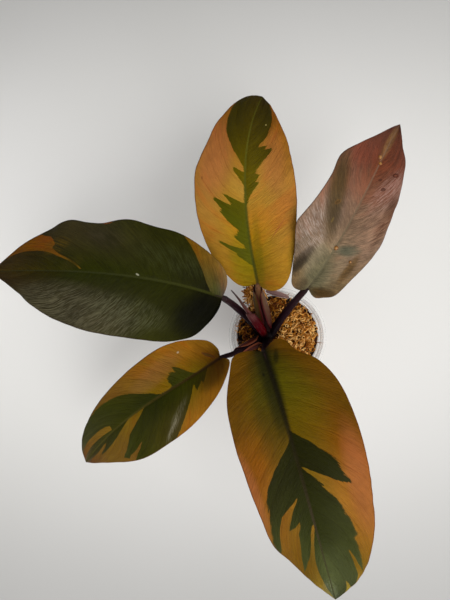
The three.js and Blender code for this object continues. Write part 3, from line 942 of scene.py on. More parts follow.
BACK_RIGHT = HalfPattern(
    (
        (0.0, 0.0), (0.59, 0.0), (0.615, 0.09), (0.632, 0.2), (0.645, 0.28), (0.657, 0.2), (0.668, 0.3),
        (0.68, 0.26), (0.688, 0.19), (0.7, 0.27), (0.72, 0.42), (0.738, 0.56), (0.75, 0.57), (0.757, 0.43),
        (0.765, 0.45), (0.771, 0.48), (0.777, 0.3), (0.786, 0.3), (0.795, 0.42), (0.81, 0.52), (0.83, 0.6),
        (0.86, 0.7), (0.9, 0.78), (0.94, 0.85), (0.97, 1.0), (1.0, 1.0),
    )
)
FRONT_LEFT_HALF = HalfPattern(
    (
        (0.0, 0.0), (0.51, 0.0), (0.52, 0.05), (0.53, 0.26), (0.54, 0.44), (0.55, 0.52), (0.57, 0.54),
        (0.585, 0.6), (0.6, 0.65), (0.607, 0.58), (0.613, 0.5), (0.619, 0.04), (0.626, 0.04), (0.636, 0.2),
        (0.646, 0.28), (0.654, 0.25), (0.666, 0.38), (0.68, 0.46), (0.7, 0.51), (0.715, 0.58), (0.735, 0.63),
        (0.75, 0.66), (0.764, 0.62), (0.78, 0.68), (0.8, 0.72), (0.83, 0.79), (0.86, 0.86), (0.9, 1.0),
        (1.0, 1.0),
    ),
    (
        Band(
            (
                (0.6, 0.806, 0.812), (0.62, 0.808, 0.817), (0.75, 0.828, 0.85), (0.9, 0.852, 0.88),
                (1.0, 0.865, 0.91),
            )
        ),
        Band(((0.68, 0.914, 0.916), (0.8, 0.918, 0.93), (0.9, 0.924, 0.945), (1.0, 0.93, 0.962))),
    ),
)
FRONT_RIGHT_HALF = HalfPattern(
    (
        (0.0, 0.0), (0.535, 0.0), (0.548, 0.08), (0.557, 0.38), (0.568, 0.55), (0.58, 0.65), (0.6, 0.71),
        (0.63, 0.74), (0.66, 0.79), (0.69, 0.84), (0.73, 0.9), (0.76, 1.0), (1.0, 1.0),
    ),
    (
        Band(
            (
                (0.22, 0.68, 0.684), (0.35, 0.68, 0.694), (0.5, 0.678, 0.712), (0.58, 0.677, 0.722),
                (0.62, 0.677, 0.79), (0.7, 0.688, 0.805), (0.8, 0.71, 0.826), (0.9, 0.738, 0.842),
                (1.0, 0.765, 0.85),
            )
        ),
        Band(
            (
                (0.33, 0.735, 0.742), (0.45, 0.732, 0.755), (0.6, 0.722, 0.79), (0.66, 0.72, 0.8),
                (1.0, 0.75, 0.81),
            )
        ),
        Band(
            (
                (0.03, 0.776, 0.786), (0.1, 0.775, 0.8), (0.2, 0.79, 0.816), (0.3, 0.81, 0.836),
                (0.4, 0.82, 0.855), (0.48, 0.828, 0.885), (0.55, 0.832, 0.925), (0.62, 0.834, 0.97),
                (0.7, 0.836, 1.0), (0.85, 0.842, 1.0), (1.0, 0.85, 1.0),
            )
        ),
    ),
)
SMALL_LEFT_HALF = HalfPattern(
    (
        (0.0, 0.0), (0.285, 0.0), (0.3, 0.09), (0.312, 0.2), (0.325, 0.27), (0.338, 0.2), (0.352, 0.26),
        (0.366, 0.32), (0.378, 0.26), (0.388, 0.17), (0.396, 0.18), (0.405, 0.36), (0.42, 0.54),
        (0.432, 0.68), (0.445, 0.79), (0.46, 0.88), (0.48, 1.0), (1.0, 1.0),
    ),
    (
        Band(
            (
                (0.0, 0.66, 0.742), (0.1, 0.675, 0.765), (0.2, 0.696, 0.79), (0.3, 0.717, 0.814),
                (0.4, 0.735, 0.837), (0.5, 0.742, 0.87), (0.6, 0.746, 0.902), (0.7, 0.752, 0.94),
                (0.8, 0.768, 0.965), (0.88, 0.775, 0.98), (0.93, 0.742, 0.98), (1.0, 0.7, 0.985),
            )
        ),
        Band(((0.66, 0.67, 0.673), (0.78, 0.68, 0.703), (0.86, 0.696, 0.735), (1.0, 0.71, 0.75))),
        Band(
            (
                (0.2, 0.868, 0.884), (0.3, 0.874, 0.906), (0.4, 0.884, 0.936), (0.5, 0.896, 0.96),
                (1.0, 0.9, 0.98),
            )
        ),
    ),
)
SMALL_RIGHT_HALF = HalfPattern(
    (
        (0.0, 0.0), (0.37, 0.0), (0.385, 0.1), (0.393, 0.28), (0.402, 0.4), (0.412, 0.38), (0.425, 0.28),
        (0.44, 0.34), (0.46, 0.29), (0.48, 0.25), (0.492, 0.18), (0.502, 0.06), (0.52, 0.02), (0.565, 0.03),
        (0.578, 0.1), (0.592, 0.22), (0.605, 0.34), (0.617, 0.48), (0.63, 0.56), (0.645, 0.65), (0.665, 0.71),
        (0.69, 0.77), (0.72, 0.82), (0.76, 0.87), (0.8, 1.0), (1.0, 1.0),
    ),
    (
        Band(
            (
                (0.08, 0.82, 0.825), (0.15, 0.811, 0.842), (0.25, 0.802, 0.878), (0.35, 0.811, 0.908),
                (0.45, 0.832, 0.932), (0.6, 0.875, 0.96), (0.75, 0.912, 0.98), (0.9, 0.945, 0.995),
                (1.0, 0.965, 1.0),
            )
        ),
    ),
)
DARK_LEFT_HALF = HalfPattern(((0.0, 1.0), (1.0, 1.0)))
DARK_RIGHT_HALF = HalfPattern(
    ((0.0, 0.0), (0.225, 0.0), (0.245, 0.06), (0.256, 0.2), (0.262, 0.6), (0.268, 1.0), (1.0, 1.0)),
    (
        Band(
            (
                (0.06, 0.717, 0.722), (0.2, 0.725, 0.735), (0.35, 0.74, 0.752), (0.5, 0.755, 0.774),
                (0.6, 0.758, 0.79), (0.66, 0.74, 0.806), (0.75, 0.735, 0.832), (0.84, 0.735, 0.865),
                (0.92, 0.75, 0.895), (1.0, 0.76, 0.925),
            )
        ),
        Band(((0.965, 0.505, 0.528), (1.0, 0.5, 0.535))),
    ),
)
PLAIN_HALF = HalfPattern(((0.0, 0.0), (1.0, 0.0)))

BACK = LeafBlade(
    name="back",
    slot="variegated_leaf",
    stalk=((-10, 5.5, 86), (-11.6, 14.5, 98.6), (-15.2, 30, 117), (-17, 40, 134)),
    stalk_radii=(4.2, 3.4, 3, 2.4),
    midrib=((-17, 47, 150), (-28, 103, 172), (-34, 162, 180), (-12, 215, 158)),
    left=(
        (0, 0), (-12, 0), (-21, 7), (-33, 27), (-41, 50), (-44, 75), (-45, 98), (-41, 109), (-35, 123),
        (-29, 142), (-19, 162), (-9, 172), (0, 175),
    ),
    right=(
        (0, 0), (7, -8), (20, -8), (31, 5), (40, 37), (44, 70), (42, 97), (35, 128), (22, 152), (12, 165),
        (0, 175),
    ),
    rise=(16, 8),
    bend=(26, 30),
    roll=(0, 0),
    waves=((1.5, 60, 0.1), (1.5, 60, 0.6)),
    seed=11,
    finish=LeafFinish(
        pale_inner=((0.05, "7f5216"), (0.3, "7b5f00"), (0.45, "a47d0c"), (0.65, "a97f2f"), (0.9, "84540c")),
        pale_outer=((0.05, "895f0b"), (0.25, "a3751f"), (0.5, "a77530"), (0.75, "966017"), (0.9, "824d0d")),
        green_inner=((0.2, "525008"), (0.5, "4d4d02"), (0.7, "5c4f00"), (0.85, "433800"), (1.0, "362c00")),
        green_outer=((0.2, "504c04"), (0.5, "4a4804"), (0.7, "463c00"), (0.9, "332b00"), (1.0, "372900")),
        left=BACK_LEFT,
        right=BACK_RIGHT,
        rib=(
            (0.05, "4a3418"), (0.1, "363810"), (0.16, "3c4010"), (0.35, "505014"), (0.55, "5c5818"),
            (0.7, "4c480c"), (0.95, "382e04"),
        ),
        margin="6a3c18",
        under="6e4a30",
        marks=(
            Mark(5, 22, 74, 9, 4, "5a5404", 0.5, Edge.SOFT),
            Mark(-9, 14, 50, 22, -6, "7c7404", 0.5, Edge.SOFT, under=True),
            # Painted shadow: a darker strip along the right margin, where the copper leaf's shadow falls.
            Mark(36, 24, 44, 9, 12, "7a6414", 0.35, Edge.SOFT, under=True),
            Mark(-27, 110, 62, 30, 0, "ac6440", 0.45, Edge.SOFT, under=True),
            Mark(24, 108, 60, 20, -4, "ac6640", 0.3, Edge.SOFT, under=True),
            Mark(25.9, 45.6, 22, 1.3, 40, "8e4c26", 0.6),
            Mark(12.9, 143, 1.6, 1.4, 0, "b0a060"),
            Mark(-37.9, 93.4, 2.6, 1.6, 0, "7a4a22"),
        ),
        rib_width=(1.5, 0.5),
    ),
)
BACK_RIGHT_LEAF = LeafBlade(
    name="back_right",
    slot="copper_leaf",
    stalk=((-7, 1, 80.5), (2, 14.3, 95), (16, 31.8, 121)),
    stalk_radii=(4.8, 4, 3.6, 2.9),
    midrib=((28, 43, 140), (67, 95, 168), (84, 146, 176), (109, 187, 150)),
    left=(
        (0, 0), (-8, -5), (-18, -2), (-25, 10), (-35, 30), (-43, 46), (-43, 55), (-38, 78), (-35, 95),
        (-35, 112), (-25, 127), (-13, 145), (0, 172),
    ),
    right=(
        (0, 0), (9, -4), (16, 0), (24, 8), (28, 28), (34, 53), (35, 65), (30, 91), (29, 104), (22, 134),
        (11, 152), (0, 172),
    ),
    rise=(20, 12),
    bend=(30, 34),
    roll=(-24, -20),
    waves=((2.6, 70, 0.3), (2, 70, 0.85)),
    seed=23,
    quilting=0.14,
    dents=(
        Dent(-21, 23, 13, 6, 12, 2.2),
        Dent(12, 3, 6, 9, 0, 1.2),
        Dent(-20, 80, 34, 7, -16, 1.4),
        Dent(20, 34, 16, 4, 5, 0.9),
    ),
    finish=LeafFinish(
        pale_inner=(
            (0.05, "5e5638"), (0.25, "7a7054"), (0.45, "846e54"), (0.65, "785a44"), (0.8, "683a20"),
            (1.0, "5e3016"),
        ),
        pale_outer=(
            (0.05, "5c4426"), (0.2, "77603f"), (0.4, "866a54"), (0.6, "7c5a46"), (0.75, "724430"),
            (1.0, "50200e"),
        ),
        green_inner=((0.4, "6f7058"), (0.5, "6a5a3c"), (0.65, "6b5233")),
        green_outer=((0.4, "6a6a52"), (0.55, "54441f"), (0.7, "5a3c1c")),
        left=PLAIN_HALF,
        right=PLAIN_HALF,
        rib=((0.05, "3a2620"), (0.14, "6a644a"), (0.5, "78604c"), (0.8, "7c5a44"), (0.9, "6c4426")),
        margin="3e2018",
        under="5e2f26",
        marks=(
            # Painted sheen: the next two marks are greyish patches where the lower left of the blade catches
            # the light.
            Mark(-26, 50, 60, 30, 8, "94867a", 0.75, Edge.STREAKED),
            Mark(-12, 30, 30, 14, 10, "8a8062", 0.5, Edge.SOFT),
            Mark(-1.6, 12, 60, 20, 0, "625c40", 0.8, Edge.SOFT),
            # Painted shade: the next three marks darken the hollow fold at the lower left.
            Mark(-23, 20, 34, 11, 12, "33281a", 0.75, Edge.SOFT),
            Mark(-22, 16, 20, 8, 20, "2a2012", 0.6, Edge.SOFT),
            Mark(-30, 34, 30, 8, 20, "5c4c34", 0.3, Edge.SOFT),
            Mark(-9, 1, 16, 12, 0, "4a3822", 0.7, Edge.SOFT),
            Mark(12, 3.6, 24, 9, 70, "44300f", 0.9, Edge.SOFT),
            Mark(20.2, 32.3, 30, 7, 5, "5e431c", 0.8, Edge.SOFT),
            Mark(11, 46, 21, 10, 62, "5a5844", 0.95, Edge.SOFT),
            # Painted shade: the next two marks darken the long fold on the left half.
            Mark(-24.5, 84, 70, 17, -14, "4a3818", 0.9, Edge.SOFT),
            Mark(-15, 62, 44, 12, -18, "4e3c20", 0.7, Edge.SOFT),
            Mark(-19, 128, 34, 30, -20, "6c3624", 0.6, Edge.SOFT),
            Mark(11, 146, 50, 22, 10, "6a341e", 0.6, Edge.SOFT),
            Mark(-0.8, 146, 40, 7, 0, "7e5a34", 0.8, Edge.SOFT),
            # Painted sheen: greyish mauve streaks along the veins of the right half.
            Mark(19, 104, 52, 20, 14, "8a6c60", 0.85, Edge.STREAKED),
            Mark(27, 82, 50, 10, -4, "4c2c1a", 0.8, Edge.SOFT),
            # Painted sheen: pale stripes along the veins of the right half.
            Mark(20, 70, 46, 30, 0, "84654e", 0.6, Edge.STREAKED),
            Mark(16.9, 120.6, 6.4, 4.0, 50, "4a1c0c", 0.9),
            Mark(16.9, 120.6, 3.0, 1.6, 50, "7c4630", 0.9),
            Mark(12.4, 104.3, 4.6, 3.2, 50, "3c1c10", 0.8),
            Mark(6.5, 110.4, 3.4, 2.4, 50, "4a2416", 0.8),
            Mark(-19.8, 77.3, 7.0, 4.0, 40, "6a4a1e", 0.7),
            Mark(-19.8, 77.3, 4.4, 2.0, 40, "4a3414", 0.8),
            Mark(-16.6, 62.6, 5.0, 2.2, 0, "77602e", 0.7),
        ),
        surface=Surface(roughness=0.4, specular=0.13),
        streaks=0.34,
        rib_width=(1.2, 0.5),
        rib_strength=0.6,
        veins=46.0,
        lines=0.32,
    ),
)
LEFT = LeafBlade(
    name="left",
    slot="green_leaf",
    stalk=((-14, 2.5, 82), (-24, 13, 96), (-34, 23, 116), (-42, 30, 142)),
    stalk_radii=(4.6, 3.5, 3.3, 2.7),
    midrib=((-47, 33, 165), (-107, 54, 190), (-182, 55, 200), (-254, 56, 176)),
    left=(
        (0, 0), (-12, 0), (-27, 6), (-41, 17), (-50, 40), (-52, 63), (-52, 91), (-49, 119), (-40, 148),
        (-29, 167), (-14, 189), (0, 214),
    ),
    right=(
        (0, 0), (12, 0), (23, 6), (33, 21), (43, 47), (46, 71), (48, 88), (43, 114), (44, 136), (37, 153),
        (27, 171), (14, 191), (0, 214),
    ),
    rise=(14, 8),
    bend=(26, 30),
    roll=(0, 0),
    waves=((1.2, 48, 0), (2.2, 48, 0.4)),
    seed=37,
    finish=LeafFinish(
        pale_inner=((0.05, "5c4e48"), (0.2, "43441d"), (0.5, "7c5c1c"), (0.75, "60460c"), (1.0, "6a4410")),
        pale_outer=(
            (0.05, "8a6c46"), (0.15, "73551d"), (0.27, "684702"), (0.5, "7c4816"), (0.8, "6a4000"),
            (1.0, "6a400c"),
        ),
        green_inner=(
            (0.05, "181300"), (0.25, "151400"), (0.45, "252700"), (0.75, "202300"), (0.95, "362800"),
        ),
        # The outer green is the leaf's own dark green. Its greyer middle stops are partly painted sheen,
        # where the lower half catches the light.
        green_outer=(
            (0.05, "0a0804"), (0.2, "242400"), (0.4, "2b2b06"), (0.6, "332d18"), (0.8, "2b2203"),
            (1.0, "372608"),
        ),
        left=DARK_LEFT_HALF,
        right=DARK_RIGHT_HALF,
        rib=(
            (0.05, "2a2018"), (0.12, "3c3e10"), (0.3, "3a3c18"), (0.5, "323418"), (0.8, "2e2e18"),
            (1.0, "2a2608"),
        ),
        margin="2e1c0c",
        under="4a3022",
        marks=(
            # Painted sheen: the next six marks are greyish, streaked patches where the blade catches the
            # light, broad on its lower half and faint on its upper half.
            Mark(-33, 122, 104, 40, 11, "5c5642", 0.8, Edge.STREAKED),
            Mark(-33, 122, 104, 40, 11, "3c3824", 0.5, Edge.SOFT),
            Mark(-26, 158, 60, 26, 16, "55503a", 0.6, Edge.STREAKED),
            Mark(-30, 78, 70, 26, 8, "4c4c34", 0.6, Edge.STREAKED),
            Mark(20, 50, 60, 22, 8, "363a20", 0.4, Edge.STREAKED),
            Mark(30, 104, 30, 16, 0, "3c3426", 0.4, Edge.STREAKED),
            Mark(7, 130, 22, 10, -25, "2e2a06", 0.75, Edge.SOFT),
            Mark(21, 146, 26, 12, -20, "5a4408", 0.5, Edge.STREAKED),
            Mark(-22, 14, 52, 40, -30, "050501", 0.85, Edge.SOFT),
            Mark(2.2, 74.1, 3.2, 1.6, 20, "9a9880"),
        ),
        rib_width=(1.3, 0.45),
        rib_strength=0.7,
        streaks=0.24,
    ),
)
FRONT_LEFT = LeafBlade(
    name="front_left",
    slot="variegated_leaf",
    stalk=((-15, -2.5, 84), (-27, -9.6, 97), (-43, -17.6, 113)),
    stalk_radii=(4.4, 3.6, 2.8, 2.2),
    midrib=((-54, -21, 121), (-100, -54, 140), (-144, -71, 138), (-188, -125, 112)),
    left=(
        (0, 0), (-6, -6), (-13, -1), (-25, 16), (-33, 34), (-39, 55), (-41, 79), (-40, 108), (-32, 132),
        (-12, 162), (0, 175),
    ),
    right=(
        (0, 0), (8, -3), (20, 1), (30, 15), (37, 33), (39, 54), (36, 83), (32, 107), (27, 130), (16, 158),
        (0, 175),
    ),
    rise=(14, 8),
    bend=(24, 26),
    roll=(0, 0),
    waves=((1.2, 56, 0), (1.2, 56, 0.5)),
    seed=41,
    finish=LeafFinish(
        pale_inner=(
            (0.05, "583b00"), (0.2, "724400"), (0.4, "766200"), (0.6, "705a00"), (0.8, "72550f"),
            (1.0, "6c4a1c"),
        ),
        pale_outer=(
            (0.05, "986b14"), (0.25, "ac7117"), (0.45, "8c6316"), (0.65, "6b4914"), (0.85, "6e5116"),
            (1.0, "653f22"),
        ),
        green_inner=((0.3, "3d3700"), (0.45, "333500"), (0.6, "242700"), (0.8, "2e2e00"), (1.0, "3c3516")),
        green_outer=(
            (0.3, "383604"), (0.45, "433914"), (0.55, "3a3402"), (0.7, "303200"), (0.9, "3d3c1e"),
            (1.0, "705a3f"),
        ),
        left=SMALL_LEFT_HALF,
        right=SMALL_RIGHT_HALF,
        rib=((0.05, "301c16"), (0.2, "3c2a10"), (0.45, "423c12"), (0.8, "4a461c"), (1.0, "403810")),
        margin="5a3418",
        under="6a4430",
        marks=(
            Mark(-8, 12, 40, 20, -20, "3a2c0a", 0.6, Edge.SOFT),
            Mark(8.7, 8.3, 14, 3.2, 50, "5e2a1e", 0.7),
            Mark(8.7, 8.3, 11, 1.2, 50, "5e4c10", 0.9),
            Mark(26, 31.4, 2.4, 1.8, 0, "c8b898"),
            # Painted sheen: a thin greyish streak where the lower half catches the light.
            Mark(-27.5, 65.6, 44, 7, -35, "6c664c", 0.8, Edge.STREAKED),
            Mark(-30, 70, 24, 3, -35, "847c66", 0.7, Edge.STREAKED),
            Mark(20, 60, 60, 18, -10, "8a5e34", 0.4, Edge.SOFT, under=True),
        ),
        rib_width=(1.6, 0.5),
    ),
)
FRONT = LeafBlade(
    name="front",
    slot="variegated_leaf",
    stalk=((-10, -3.5, 86), (-11, -12, 105), (-12, -20, 132), (-12, -20, 158)),
    stalk_radii=(4.8, 4, 3.4, 3),
    midrib=((-11, -13, 175), (7, -60, 198), (24, -129, 204), (46, -212, 160)),
    left=(
        (0, 0), (-13, -5), (-21, 0), (-26, 10), (-40, 23), (-49, 42), (-52, 70), (-51, 108), (-46, 143),
        (-38, 168), (-27, 192), (-13, 205), (0, 215),
    ),
    right=(
        (0, 0), (12, -4), (25, -3), (32, 9), (40, 30), (43, 51), (43, 81), (39, 119), (35, 151), (26, 166),
        (13, 191), (0, 215),
    ),
    rise=(20, 8),
    bend=(24, 30),
    roll=(0, 0),
    waves=((2, 80, 0.2), (2, 80, 0.7)),
    seed=53,
    rows=200,
    finish=LeafFinish(
        pale_inner=(
            (0.05, "2b1800"), (0.2, "3a3400"), (0.35, "585100"), (0.5, "634c00"), (0.7, "7c5e10"),
            (1.0, "7c6228"),
        ),
        pale_outer=(
            (0.05, "654200"), (0.2, "694400"), (0.35, "5f3f00"), (0.5, "7e4804"), (0.68, "9e641e"),
            (0.85, "725400"), (1.0, "b49d36"),
        ),
        green_inner=((0.5, "202000"), (0.62, "1e1e00"), (0.8, "282b03"), (1.0, "5b6234")),
        green_outer=((0.5, "212200"), (0.62, "292907"), (0.8, "3f4319"), (1.0, "3c4020")),
        left=FRONT_LEFT_HALF,
        right=FRONT_RIGHT_HALF,
        rib=(
            (0.05, "120c08"), (0.25, "1a1606"), (0.45, "28220c"), (0.6, "3a3020"), (0.8, "3a361c"),
            (1.0, "3c3c14"),
        ),
        margin="6a3a14",
        under="684228",
        blush=((0.0, 0.0), (0.35, 0.0), (0.5, 0.1), (0.75, 0.25), (1.0, 0.1)),
        marks=(
            Mark(-13, 50, 84, 38, -9, "5e5200", 0.35, Edge.SOFT, under=True),
            # Dark beside the midrib near the base: partly the leaf's own darker tone, partly painted shade of
            # the groove.
            Mark(2.5, 26, 90, 15, 2, "101202", 0.85, Edge.SOFT),
            Mark(10, 44, 90, 24, 6, "2c2a04", 0.5, Edge.SOFT),
            Mark(38, 88, 60, 18, -4, "7a4808", 0.4, Edge.SOFT, under=True),
            Mark(-42, 112, 84, 20, 2, "9c5a34", 0.5, Edge.SOFT, under=True),
            Mark(24, 158, 96, 46, -8, "604604", 0.6, Edge.SOFT, under=True),
            Mark(41, 104, 70, 14, -6, "a4603a", 0.45, Edge.SOFT, under=True),
            Mark(6.4, 19.1, 3.0, 2.0, 0, "100e02"),
            Mark(-8.7, 8.5, 12, 5, 20, "141402", 0.7, Edge.SOFT),
            # Painted sheen: the next two marks are greyish streaks where the tip bends down into the light.
            Mark(2, 206, 30, 12, 0, "70745a", 0.8, Edge.STREAKED),
            Mark(-10, 186, 50, 16, 8, "454a28", 0.5, Edge.STREAKED),
        ),
        rib_width=(2.6, 0.6),
    ),
)
LEAVES = (BACK, BACK_RIGHT_LEAF, LEFT, FRONT_LEFT, FRONT)


# Stalk, stem and sheath finishes


@dataclass(frozen=True)
class SkinFinish:
    """Streaked plant skin: colours along it, with others in streaks, past its middle and at its edges."""

    main: Stops
    streak: Stops
    surface: Surface = Surface(roughness=0.45, specular=0.2)
    edge: str | None = None
    second: Stops = ()
    streaks: float = 26.0
    depth: float = 0.2

    def material(self, name: str) -> bpy.types.Material:
        """Make the material.

        Args:
            name: Name of the material.

        Returns:
            The material, which reads the skin map.
        """
        made, steps, shader = self.surface.material(name)
        around, along = steps.map_place("skin")
        lines = steps.noise(steps.spread(around, along * 0.06), self.streaks, 3.0, 0.6)
        flecks = steps.noise(steps.object_place(), 1300, 2.0)
        streaked = steps.between(lines, 0.42, 0.62)
        colour = steps.mix(streaked, steps.ramp(along, self.main), steps.ramp(along, self.streak))
        colour = steps.tint(colour, steps.ramp(flecks, ((0.3, "d8d4d0"), (0.6, "ffffff"))))
        if self.second:
            kept = steps.between(lines, 0.3, 0.7, (0.0, 0.5))
            other = steps.mix(kept, steps.ramp(along, self.second), colour)
            colour = steps.mix(steps.between(around, 0.44, 0.56), colour, other)
        if self.edge:
            colour = steps.mix(steps.between(abs(around - 0.5), 0.42, 0.492), colour, linear(self.edge))
        steps.put(shader.inputs["Base Color"], colour)
        steps.put(shader.inputs["Normal"], steps.bump(lines + flecks * 0.3, self.depth))
        rough = self.surface.roughness
        steps.put(shader.inputs["Roughness"], steps.between(lines, 0.3, 0.7, (rough - 0.06, rough + 0.08)))
        return made


STALK_SKIN = SkinFinish(
    main=((0.0, "060203"), (0.5, "180a10"), (1.0, "221212")),
    streak=((0.0, "040202"), (0.5, "28101c"), (1.0, "2e1a1c")),
    surface=Surface(roughness=0.42, specular=0.05),
    streaks=30,
)
BACK_STALK_SKIN = SkinFinish(
    main=((0.0, "160606"), (0.5, "2a120c"), (0.8, "3a2210"), (1.0, "5a3a22")),
    streak=((0.0, "100404"), (0.5, "381614"), (0.8, "4c3018"), (1.0, "6e4a30")),
    surface=Surface(roughness=0.45, specular=0.06),
    streaks=30,
)
STEM_SKIN = SkinFinish(
    main=((0.0, "140c0a"), (0.6, "040202"), (1.0, "080304")),
    streak=((0.0, "20160f"), (0.6, "0a0505"), (1.0, "0e0607")),
    surface=Surface(roughness=0.6, specular=0.08),
    depth=0.35,
)
ROOT_SKIN = SkinFinish(
    main=((0.0, "8a6c48"), (1.0, "b39a72")),
    streak=((0.0, "6a5030"), (1.0, "9a8058")),
    surface=Surface(roughness=0.75),
    depth=0.3,
)
RIB_SKIN_STOPS = ((0.06, "2a1c1a"), (0.2, "4a3420"), (1.0, "5a4426"))
BACK_SHEATH_SKIN = SkinFinish(
    main=((0.0, "1c0a06"), (0.25, "3c2408"), (0.55, "4a340a"), (0.85, "46340c"), (1.0, "4a2e1e")),
    streak=((0.0, "280e0a"), (0.25, "4c2c0c"), (0.55, "664616"), (0.85, "6a4c20"), (1.0, "5c3c28")),
    surface=Surface(roughness=0.5, specular=0.1),
    second=((0.0, "300c0c"), (0.3, "4c2a22"), (0.6, "5c4034"), (0.85, "5a3c2c"), (1.0, "5a3424")),
    edge="40080c",
    streaks=26,
    depth=0.3,
)
FRONT_SHEATH_SKIN = SkinFinish(
    main=((0.0, "040202"), (0.14, "0a0303"), (0.34, "34100c"), (0.7, "451812"), (1.0, "30100e")),
    streak=((0.0, "060303"), (0.14, "100504"), (0.34, "561c12"), (0.7, "6a2a1a"), (1.0, "4a1c16")),
    surface=Surface(roughness=0.45, specular=0.1),
    edge="a0563a",
    streaks=20,
    depth=0.3,
)
RED_SHEATH_SKIN = SkinFinish(
    main=(
        (0.0, "060101"), (0.12, "140103"), (0.24, "4c0006"), (0.45, "52000a"), (0.65, "4a060e"),
        (0.8, "481a1e"), (1.0, "4a2422"),
    ),
    streak=(
        (0.0, "060202"), (0.1, "120203"), (0.2, "400006"), (0.45, "46020a"), (0.65, "440c10"),
        (0.8, "6a3c3a"), (1.0, "5a3832"),
    ),
    surface=Surface(roughness=0.38, specular=0.035),
    streaks=18,
)
ROLLED_SKIN = SkinFinish(
    main=((0.0, "2a0406"), (0.3, "4a0c0e"), (0.5, "4c1e1c"), (0.75, "3a221e"), (1.0, "1e1010")),
    streak=((0.0, "340608"), (0.3, "5a1414"), (0.5, "6a3c38"), (0.75, "50342c"), (1.0, "281616")),
    surface=Surface(roughness=0.4, specular=0.12),
    streaks=16,
)
DRY_SKIN = SkinFinish(
    main=((0.0, "6c4c48"), (0.5, "7e5c58"), (1.0, "6e504a")),
    streak=((0.0, "8c6a62"), (0.5, "a07e76"), (1.0, "8a6a60")),
    surface=Surface(roughness=0.7),
    edge="c0a89c",
    streaks=24,
    depth=0.35,
)


@dataclass
class Sheath:
    """Open shell about a path, its gap facing up or turned; radii and spread run evenly from base to tip."""

    node: str
    slot: str
    path: Path3D
    radii: tuple[float, ...]
    spread: tuple[float, ...]
    finish: SkinFinish
    seed: int
    turn: float = 0.0
    rows: int = 90
    columns: int = 44
    thickness: float = 0.55

    def build(self) -> None:
        """Make and dress the shell, thinner towards its rims and slightly crumpled."""
        line = spline_3d(self.path)
        levels = np.concatenate([np.ones(self.columns), [0.0], -np.ones(self.columns), [0.0]])
        turn = np.linspace(-1, 1, self.columns)
        turns = np.concatenate([turn, [1.0], turn[::-1], [-1.0]])
        share = np.linspace(0, 1, self.rows)
        along = line.tangent(share)
        across = np.cross(along, UP)
        across /= np.linalg.norm(across, axis=-1, keepdims=True)
        down = np.cross(along, across)
        half = np.radians(read_evenly(self.spread, share))
        angle = half[:, None] * turns[None] + math.radians(self.turn)
        place = np.stack([share[:, None] * 9 + 0 * angle, 1.6 * np.cos(angle), 1.6 * np.sin(angle)], -1)
        crumple = 0.22 * ripples(place, 2.2, self.seed) * (0.3 + 0.7 * np.abs(turns)[None])
        pleats = 0.07 * np.sin(angle * 11 + self.seed)
        taper = 1 - 0.6 * smooth(np.abs(turns), 0.6, 1)
        ends = np.minimum(smooth(share, -0.01, 0.02), 1 - smooth(share, 0.96, 1.01))
        wall = (levels * taper)[None] * self.thickness / 2 * ends[:, None]
        offset = read_evenly(self.radii, share)[:, None] + crumple + pleats + wall
        outward = down[:, None] * np.cos(angle)[..., None] + across[:, None] * np.sin(angle)[..., None]
        points = line.point(share)[:, None] + outward * offset[..., None]
        u, v = np.meshgrid(0.5 + 0.5 * np.append(turns, turns[0]), share)
        shape = Shape.grid(points, {"skin": np.stack([u, v], -1)}, closed=True, capped=True)
        dress(shape.build(self.node, [self.finish.material(self.node)]), self.node)


@dataclass
class RolledLeaf:
    """New leaf, rolled to a pointed scroll; one edge of it shows as a step that winds up the scroll."""

    path: Path3D
    radii: tuple[float, ...]
    finish: SkinFinish = ROLLED_SKIN
    rows: int = 120
    sides: int = 56
    winding: float = 0.55
    step: float = 0.14
    point: tuple[float, ...] = (0.9, 0.65, 0.2)

    def build(self) -> None:
        """Make and dress the scroll."""
        share = np.linspace(0, 1, self.rows)
        radii = read_evenly(self.radii, share)
        radii[-3:] *= self.point
        angle = np.arange(self.sides) / self.sides
        wound = (angle[None] + self.winding * share[:, None]) % 1.0
        scroll = 1 - self.step + self.step * wound + 0.03 * np.sin(2 * math.pi * 7 * wound)
        shape = tube(spline_3d(self.path), radii, self.sides, out=scroll)
        piece = shape.build("rolled_leaf_scroll", [self.finish.material("rolled_leaf")])
        dress(piece, "rolled_leaf")


@dataclass
class Stem:
    """Short stem with ring scars where old leaves stood."""
    # Mark of another colour, over the green or under it; some marks are painted sheen and some painted shade.

    path: Path3D = ((-11, 0, 58), (-11, 0, 70), (-11, 0.5, 82), (-11, 1, 92))
    radii: tuple[float, ...] = (6.4, 7.6, 7.2, 7.8, 7, 7.6, 6.8, 7.2, 6.2, 5.4, 2.6)
    rings: int = 11
    rows: int = 110
    sides: int = 72

    def build(self) -> None:
        """Make and dress the stem."""
        share = np.linspace(0, 1, self.rows)
        a, b = np.meshgrid(share, ring_angles(self.sides), indexing="ij")
        rings = 0.02 * np.abs(np.sin(math.pi * self.rings * (a + 0.03 * np.sin(b)))) ** 6
        rough = 0.025 * ripples(np.stack([a * 8, np.cos(b), np.sin(b)], -1), 1.1, 5)
        shape = tube(spline_3d(self.path), read_evenly(self.radii, share), self.sides, out=1 + rings + rough)
        dress(shape.build("stem_ringed", [STEM_SKIN.material("stem")]), "stem")


